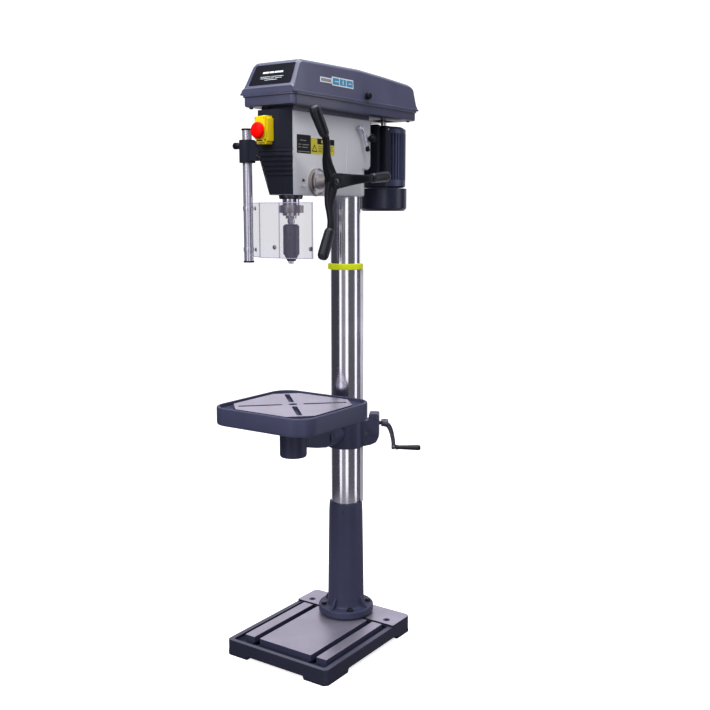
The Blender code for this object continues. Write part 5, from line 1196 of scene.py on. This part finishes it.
def build_guard():
    """Chuck guard: bracket, chromed post, lock knob and folded clear shield with hems, and a painted
    highlight along one bend.
    """
    x, y = POST
    arm = carved(prism(soften([(-0.124, y - 0.013), (-HEAD_X - 0.0003, y - 0.013),
                               (-HEAD_X - 0.0003, y + 0.013), (-0.124, y + 0.013)], 0.003), CLAMP_LOW,
                       CLAMP_HIGH), [rod((x, y, 1.42), (x, y, 1.52), POST_R + 0.0004, 64),
                                     rod((x - 0.04, y, GUARD_KNOB_Z), (x, y, GUARD_KNOB_Z), 0.0042)],
                 [lathe([(0, 1.441), (0.0225, 1.441, 0.002), (0.0225, 1.504, 0.002), (0, 1.504)],
                        (x, y, 0), steps=96)])
    piece("guard_clamp", arm, "black", "stand", "guard_bracket", bevel=0.0008, segments=2)
    places = [(-0.090, y - 0.0125, z) for z in (1.456, 1.489)]
    screws("guard_bracket_screw", places, -Y, (0.0046, 0.0034), "dark_steel", "stand")
    z0, z1 = POST_LOW, POST_TOP
    post = [(0, z1 - 0.004), (POST_R, z1 - 0.004), (POST_R, z0 + 0.004), (0, z0 + 0.004)]
    piece("post_tube", lathe(post, (x, y, 0), steps=96), "chrome", "guard_post", "guard_post")
    for name, low, high in (("post_cap_top", z1 - 0.0045, z1), ("post_cap_foot", z0, z0 + 0.0045)):
        piece(name, lathe([(0, low), (0.0155, low, 0.001), (0.0155, high, 0.001), (0, high)], (x, y, 0),
                          steps=72), "satin_black", "guard_post")

    def lobes(a, h):
        return 1 - 0.06 * (0.5 + 0.5 * math.cos(a * 6)) if h > 0.032 else 1.0

    knob = lathe([(0, 0.048), (0.008, 0.048, 0.002), (0.0098, 0.045, 0.001), (0.0098, 0.034, 0.001),
                  (0.005, 0.026), (0.0039, 0.023), (0.0039, 0.0142), (0, 0.0142)], (x, y, GUARD_KNOB_Z),
                 -X, 0.0006, 96, wave=lobes)
    piece("guard_knob_moulding", knob, "satin_black", "guard_knob", "guard_knob")
    z0, z1, t = SHIELD_LOW, SHIELD_HIGH, 0.0013
    line = soften([(-0.1222, -0.284), (-0.066, -0.318), (-0.040, -0.336), (0.086, -0.322),
                   (0.102, -0.296)], 0.008, False, 5)

    def wall(low, high, half):
        sides = ([], [])
        for i, p in enumerate(line):
            d = (line[min(i + 1, len(line) - 1)] - line[max(i - 1, 0)]).normalized()
            n = Vector((-d.y, d.x)) * half
            sides[0].append(p + n)
            sides[1].append(p - n)
        return prism(sides[0] + sides[1][::-1], low, high)

    piece("shield_sheet", wall(z0 + 0.0005, z1 - 0.0005, t), "clear", "guard_shield", "guard_shield")
    piece("shield_hems", joined(wall(z0, z0 + 0.0022, t + 0.0002), wall(z1 - 0.0022, z1, t + 0.0002)),
          "clear_edge_and_glint", "guard_shield")
    # Lighter rods along the sheet's end and folds; the rod at the bend is a painted highlight for the glint
    # along it.
    for name, x0, y0, x1, y1 in (("shield_end", 0.1005, -0.2985, 0.102, -0.296),
                                 ("shield_fold", -0.067, -0.3175, -0.065, -0.3190),
                                 ("shield_bend_highlight", 0.0125, -0.3304, 0.0125, -0.3304)):
        piece(name, rod((x0, y0, z0 + 0.001), (x0, y0, z1 - 0.001), 0.0017, 16), "clear_edge_and_glint",
              "guard_shield")
    for k, z in enumerate((1.200, 1.315)):
        clip = [(POST_R + 0.0005, z + 0.006), (POST_R + 0.0016, z + 0.006, 0.0004),
                (POST_R + 0.0016, z - 0.006, 0.0004), (POST_R + 0.0005, z - 0.006)]
        piece(f"shield_clip_{k + 1}", lathe(clip, (x, y, 0), ring=True, r=0.0002), "chrome",
              "guard_shield")
    fixings = ((-0.093, -0.3030, 1.315, -0.52, -0.855), (-0.093, -0.3030, 1.201, -0.52, -0.855),
               (-0.002, -0.3330, 1.210, 0.11, -0.994), (0.0995, -0.3045, 1.207, 0.852, -0.524))
    for k, (px, py, pz, nx, ny) in enumerate(fixings):
        n = Vector((nx, ny, 0)).normalized()
        piece(f"shield_screw_{k + 1}", joined(lathe([(0, 0), (0.0062, 0), (0.0062, 0.0009, 0.0003),
            (0, 0.0009)], (px, py, pz), n, 0.0002, 32), socket_screw(Vector((px, py, pz)) + n * 0.0008, n,
            0.0040, 0.0024)), "alloy", "guard_shield")


# ---------------------------------------------------------------- studio and camera

CAMERA_AT, CAMERA_TURN, CAMERA_DOWN, CAMERA_LENS = (1.6603, -2.3701, 1.3057), 34.445, 8.5, 48.588
CARD_R, CARD_H = 1.15, 2.6


def soft_light(name, at, look_at, size, power):
    """A square soft box aimed at a point."""
    data = bpy.data.lights.new(name, "AREA")
    data.shape, data.size, data.energy = "SQUARE", size, power
    obj = bpy.data.objects.new(name, data)
    obj.location = at
    obj.rotation_euler = (Vector(look_at) - Vector(at)).to_track_quat("-Z", "Y").to_euler()
    obj.visible_camera = False
    bpy.context.scene.collection.objects.link(obj)


def camera_mix(tree, dark, bright):
    """Node that gives one colour to the camera's own rays and another to the rest."""
    path, mix = tree.nodes.new("ShaderNodeLightPath"), tree.nodes.new("ShaderNodeMix")
    mix.data_type = "RGBA"
    mix.inputs["A"].default_value = (*dark, 1)
    mix.inputs["B"].default_value = (*bright, 1)
    tree.links.new(path.outputs["Is Camera Ray"], mix.inputs["Factor"])
    return path, mix


def staged(name, bm, look):
    """A studio object that isn't part of the machine."""
    mesh = bpy.data.meshes.new(name)
    bm.to_mesh(mesh)
    bm.free()
    mesh.materials.append(look)
    obj = bpy.data.objects.new(name, mesh)
    bpy.context.scene.collection.objects.link(obj)
    return obj


def glow(name, colour, strength):
    """A plain emitting finish for studio cards."""
    mat = bpy.data.materials.new(name)
    mat.use_nodes = True
    bsdf = mat.node_tree.nodes["Principled BSDF"]
    bsdf.inputs["Base Color"].default_value = (0, 0, 0, 1)
    bsdf.inputs["Specular IOR Level"].default_value = 0
    bsdf.inputs["Emission Color"].default_value = (*colour, 1)
    bsdf.inputs["Emission Strength"].default_value = strength
    return mat


def build_floor():
    """Pale floor, white to the camera and darker in the machine's reflections."""
    bm = bmesh.new()
    bmesh.ops.create_grid(bm, x_segments=1, y_segments=1, size=30)
    bmesh.ops.translate(bm, verts=bm.verts, vec=(0, 0, -0.0002))
    pale = finish_look("floor_white", (0.90, 0.90, 0.905), 0.85, grain=40, bump=0.01, mottle=0.004,
                       patch=2)
    tree = pale.node_tree
    bsdf = tree.nodes["Principled BSDF"]
    path, mix = camera_mix(tree, (0.22, 0.22, 0.24), (1, 1, 1))
    tree.links.new(bsdf.inputs["Base Color"].links[0].from_socket, mix.inputs["B"])
    tree.links.new(mix.outputs["Result"], bsdf.inputs["Base Color"])
    tree.links.new(path.outputs["Is Camera Ray"], bsdf.inputs["Emission Strength"])
    bsdf.inputs["Emission Color"].default_value = (0.74, 0.74, 0.74, 1)
    staged("floor", bm, pale)


def build_cards(view, right):
    """Ring of glowing cards that only reflections see; it stripes the ground steel."""
    looks = {"dim": glow("card_dim", (0.80, 0.80, 1.0), 0.085),
             "bright": glow("card_bright", (0.96, 0.95, 1.0), 1.7),
             "mid": glow("card_mid", (0.95, 0.93, 1.0), 0.34),
             "grey": glow("card_grey", (0.90, 0.90, 1.0), 0.15),
             "back": glow("card_back", (0.93, 0.90, 1.0), 0.80)}
    cards = ((-180, -138, "back"), (-138, -46, "dim"), (-46, -30, "bright"), (-30, 0, "mid"),
             (0, 20, "bright"), (20, 76, "grey"), (76, 99, "bright"), (99, 128, "dim"),
             (128, 180, "back"))
    for k, (start, end, look) in enumerate(cards):
        bm, rows, count = bmesh.new(), [], max(2, int((end - start) / 6))
        for i in range(count + 1):
            a = math.radians(start + (end - start) * i / count)
            d = (right * math.sin(a) - view * math.cos(a)) * CARD_R
            rows.append([bm.verts.new((d.x, d.y, z)) for z in (0.0, CARD_H)])
        for one, two in zip(rows, rows[1:]):
            bm.faces.new((one[0], two[0], two[1], one[1]))
        card = staged(f"card_{k}", bm, looks[look])
        card.visible_camera = card.visible_diffuse = card.visible_shadow = card.visible_transmission = False


def build_surround():
    """White background for the camera and a softer one for lighting."""
    world = bpy.data.worlds.new("studio")
    bpy.context.scene.world = world
    world.use_nodes = True
    _, mix = camera_mix(world.node_tree, (0.48, 0.48, 0.54), (1.17, 1.17, 1.17))
    back = world.node_tree.nodes["Background"]
    world.node_tree.links.new(mix.outputs["Result"], back.inputs["Color"])
    back.inputs["Strength"].default_value = 1.0


def build_camera(turn):
    """Camera at the photo's angle, with plain colours."""
    scene = bpy.context.scene
    data = bpy.data.cameras.new("camera")
    data.lens, data.sensor_width = CAMERA_LENS, 36
    data.clip_start, data.clip_end = 0.05, 60
    cam = bpy.data.objects.new("camera", data)
    cam.location = CAMERA_AT
    cam.rotation_euler = (math.radians(90 - CAMERA_DOWN), 0, turn)
    scene.collection.objects.link(cam)
    scene.camera = cam
    scene.view_settings.view_transform = "Standard"
    scene.view_settings.look = "None"


def build_studio():
    """Floor, surround, reflection cards, soft boxes and camera."""
    turn = math.radians(CAMERA_TURN)
    view, right = Vector((-math.sin(turn), math.cos(turn), 0)), Vector((math.cos(turn), math.sin(turn),
        0))
    mid = Vector((0, -0.1, 0.9))
    build_floor()
    build_cards(view, right)
    build_surround()
    soft_light("key", mid - view * 2.2 - right * 1.2 + Z * 1.9, mid + Z * 0.2, 1.6, 62)
    soft_light("side", mid - view * 0.8 + right * 2.6 + Z * 1.2, mid, 1.8, 5)
    soft_light("top", Vector((0.2, -0.3, 3.2)), (0, -0.1, 0.8), 2.2, 74)
    build_camera(turn)


make_looks()
build_base()
build_sleeve()
build_column()
build_bracket()
build_arm()
build_table()
build_head()
build_cover()
build_quill()
build_feed()
build_drive()
build_tray()
build_lid()
build_motor()
build_switch()
build_guard()
build_studio()
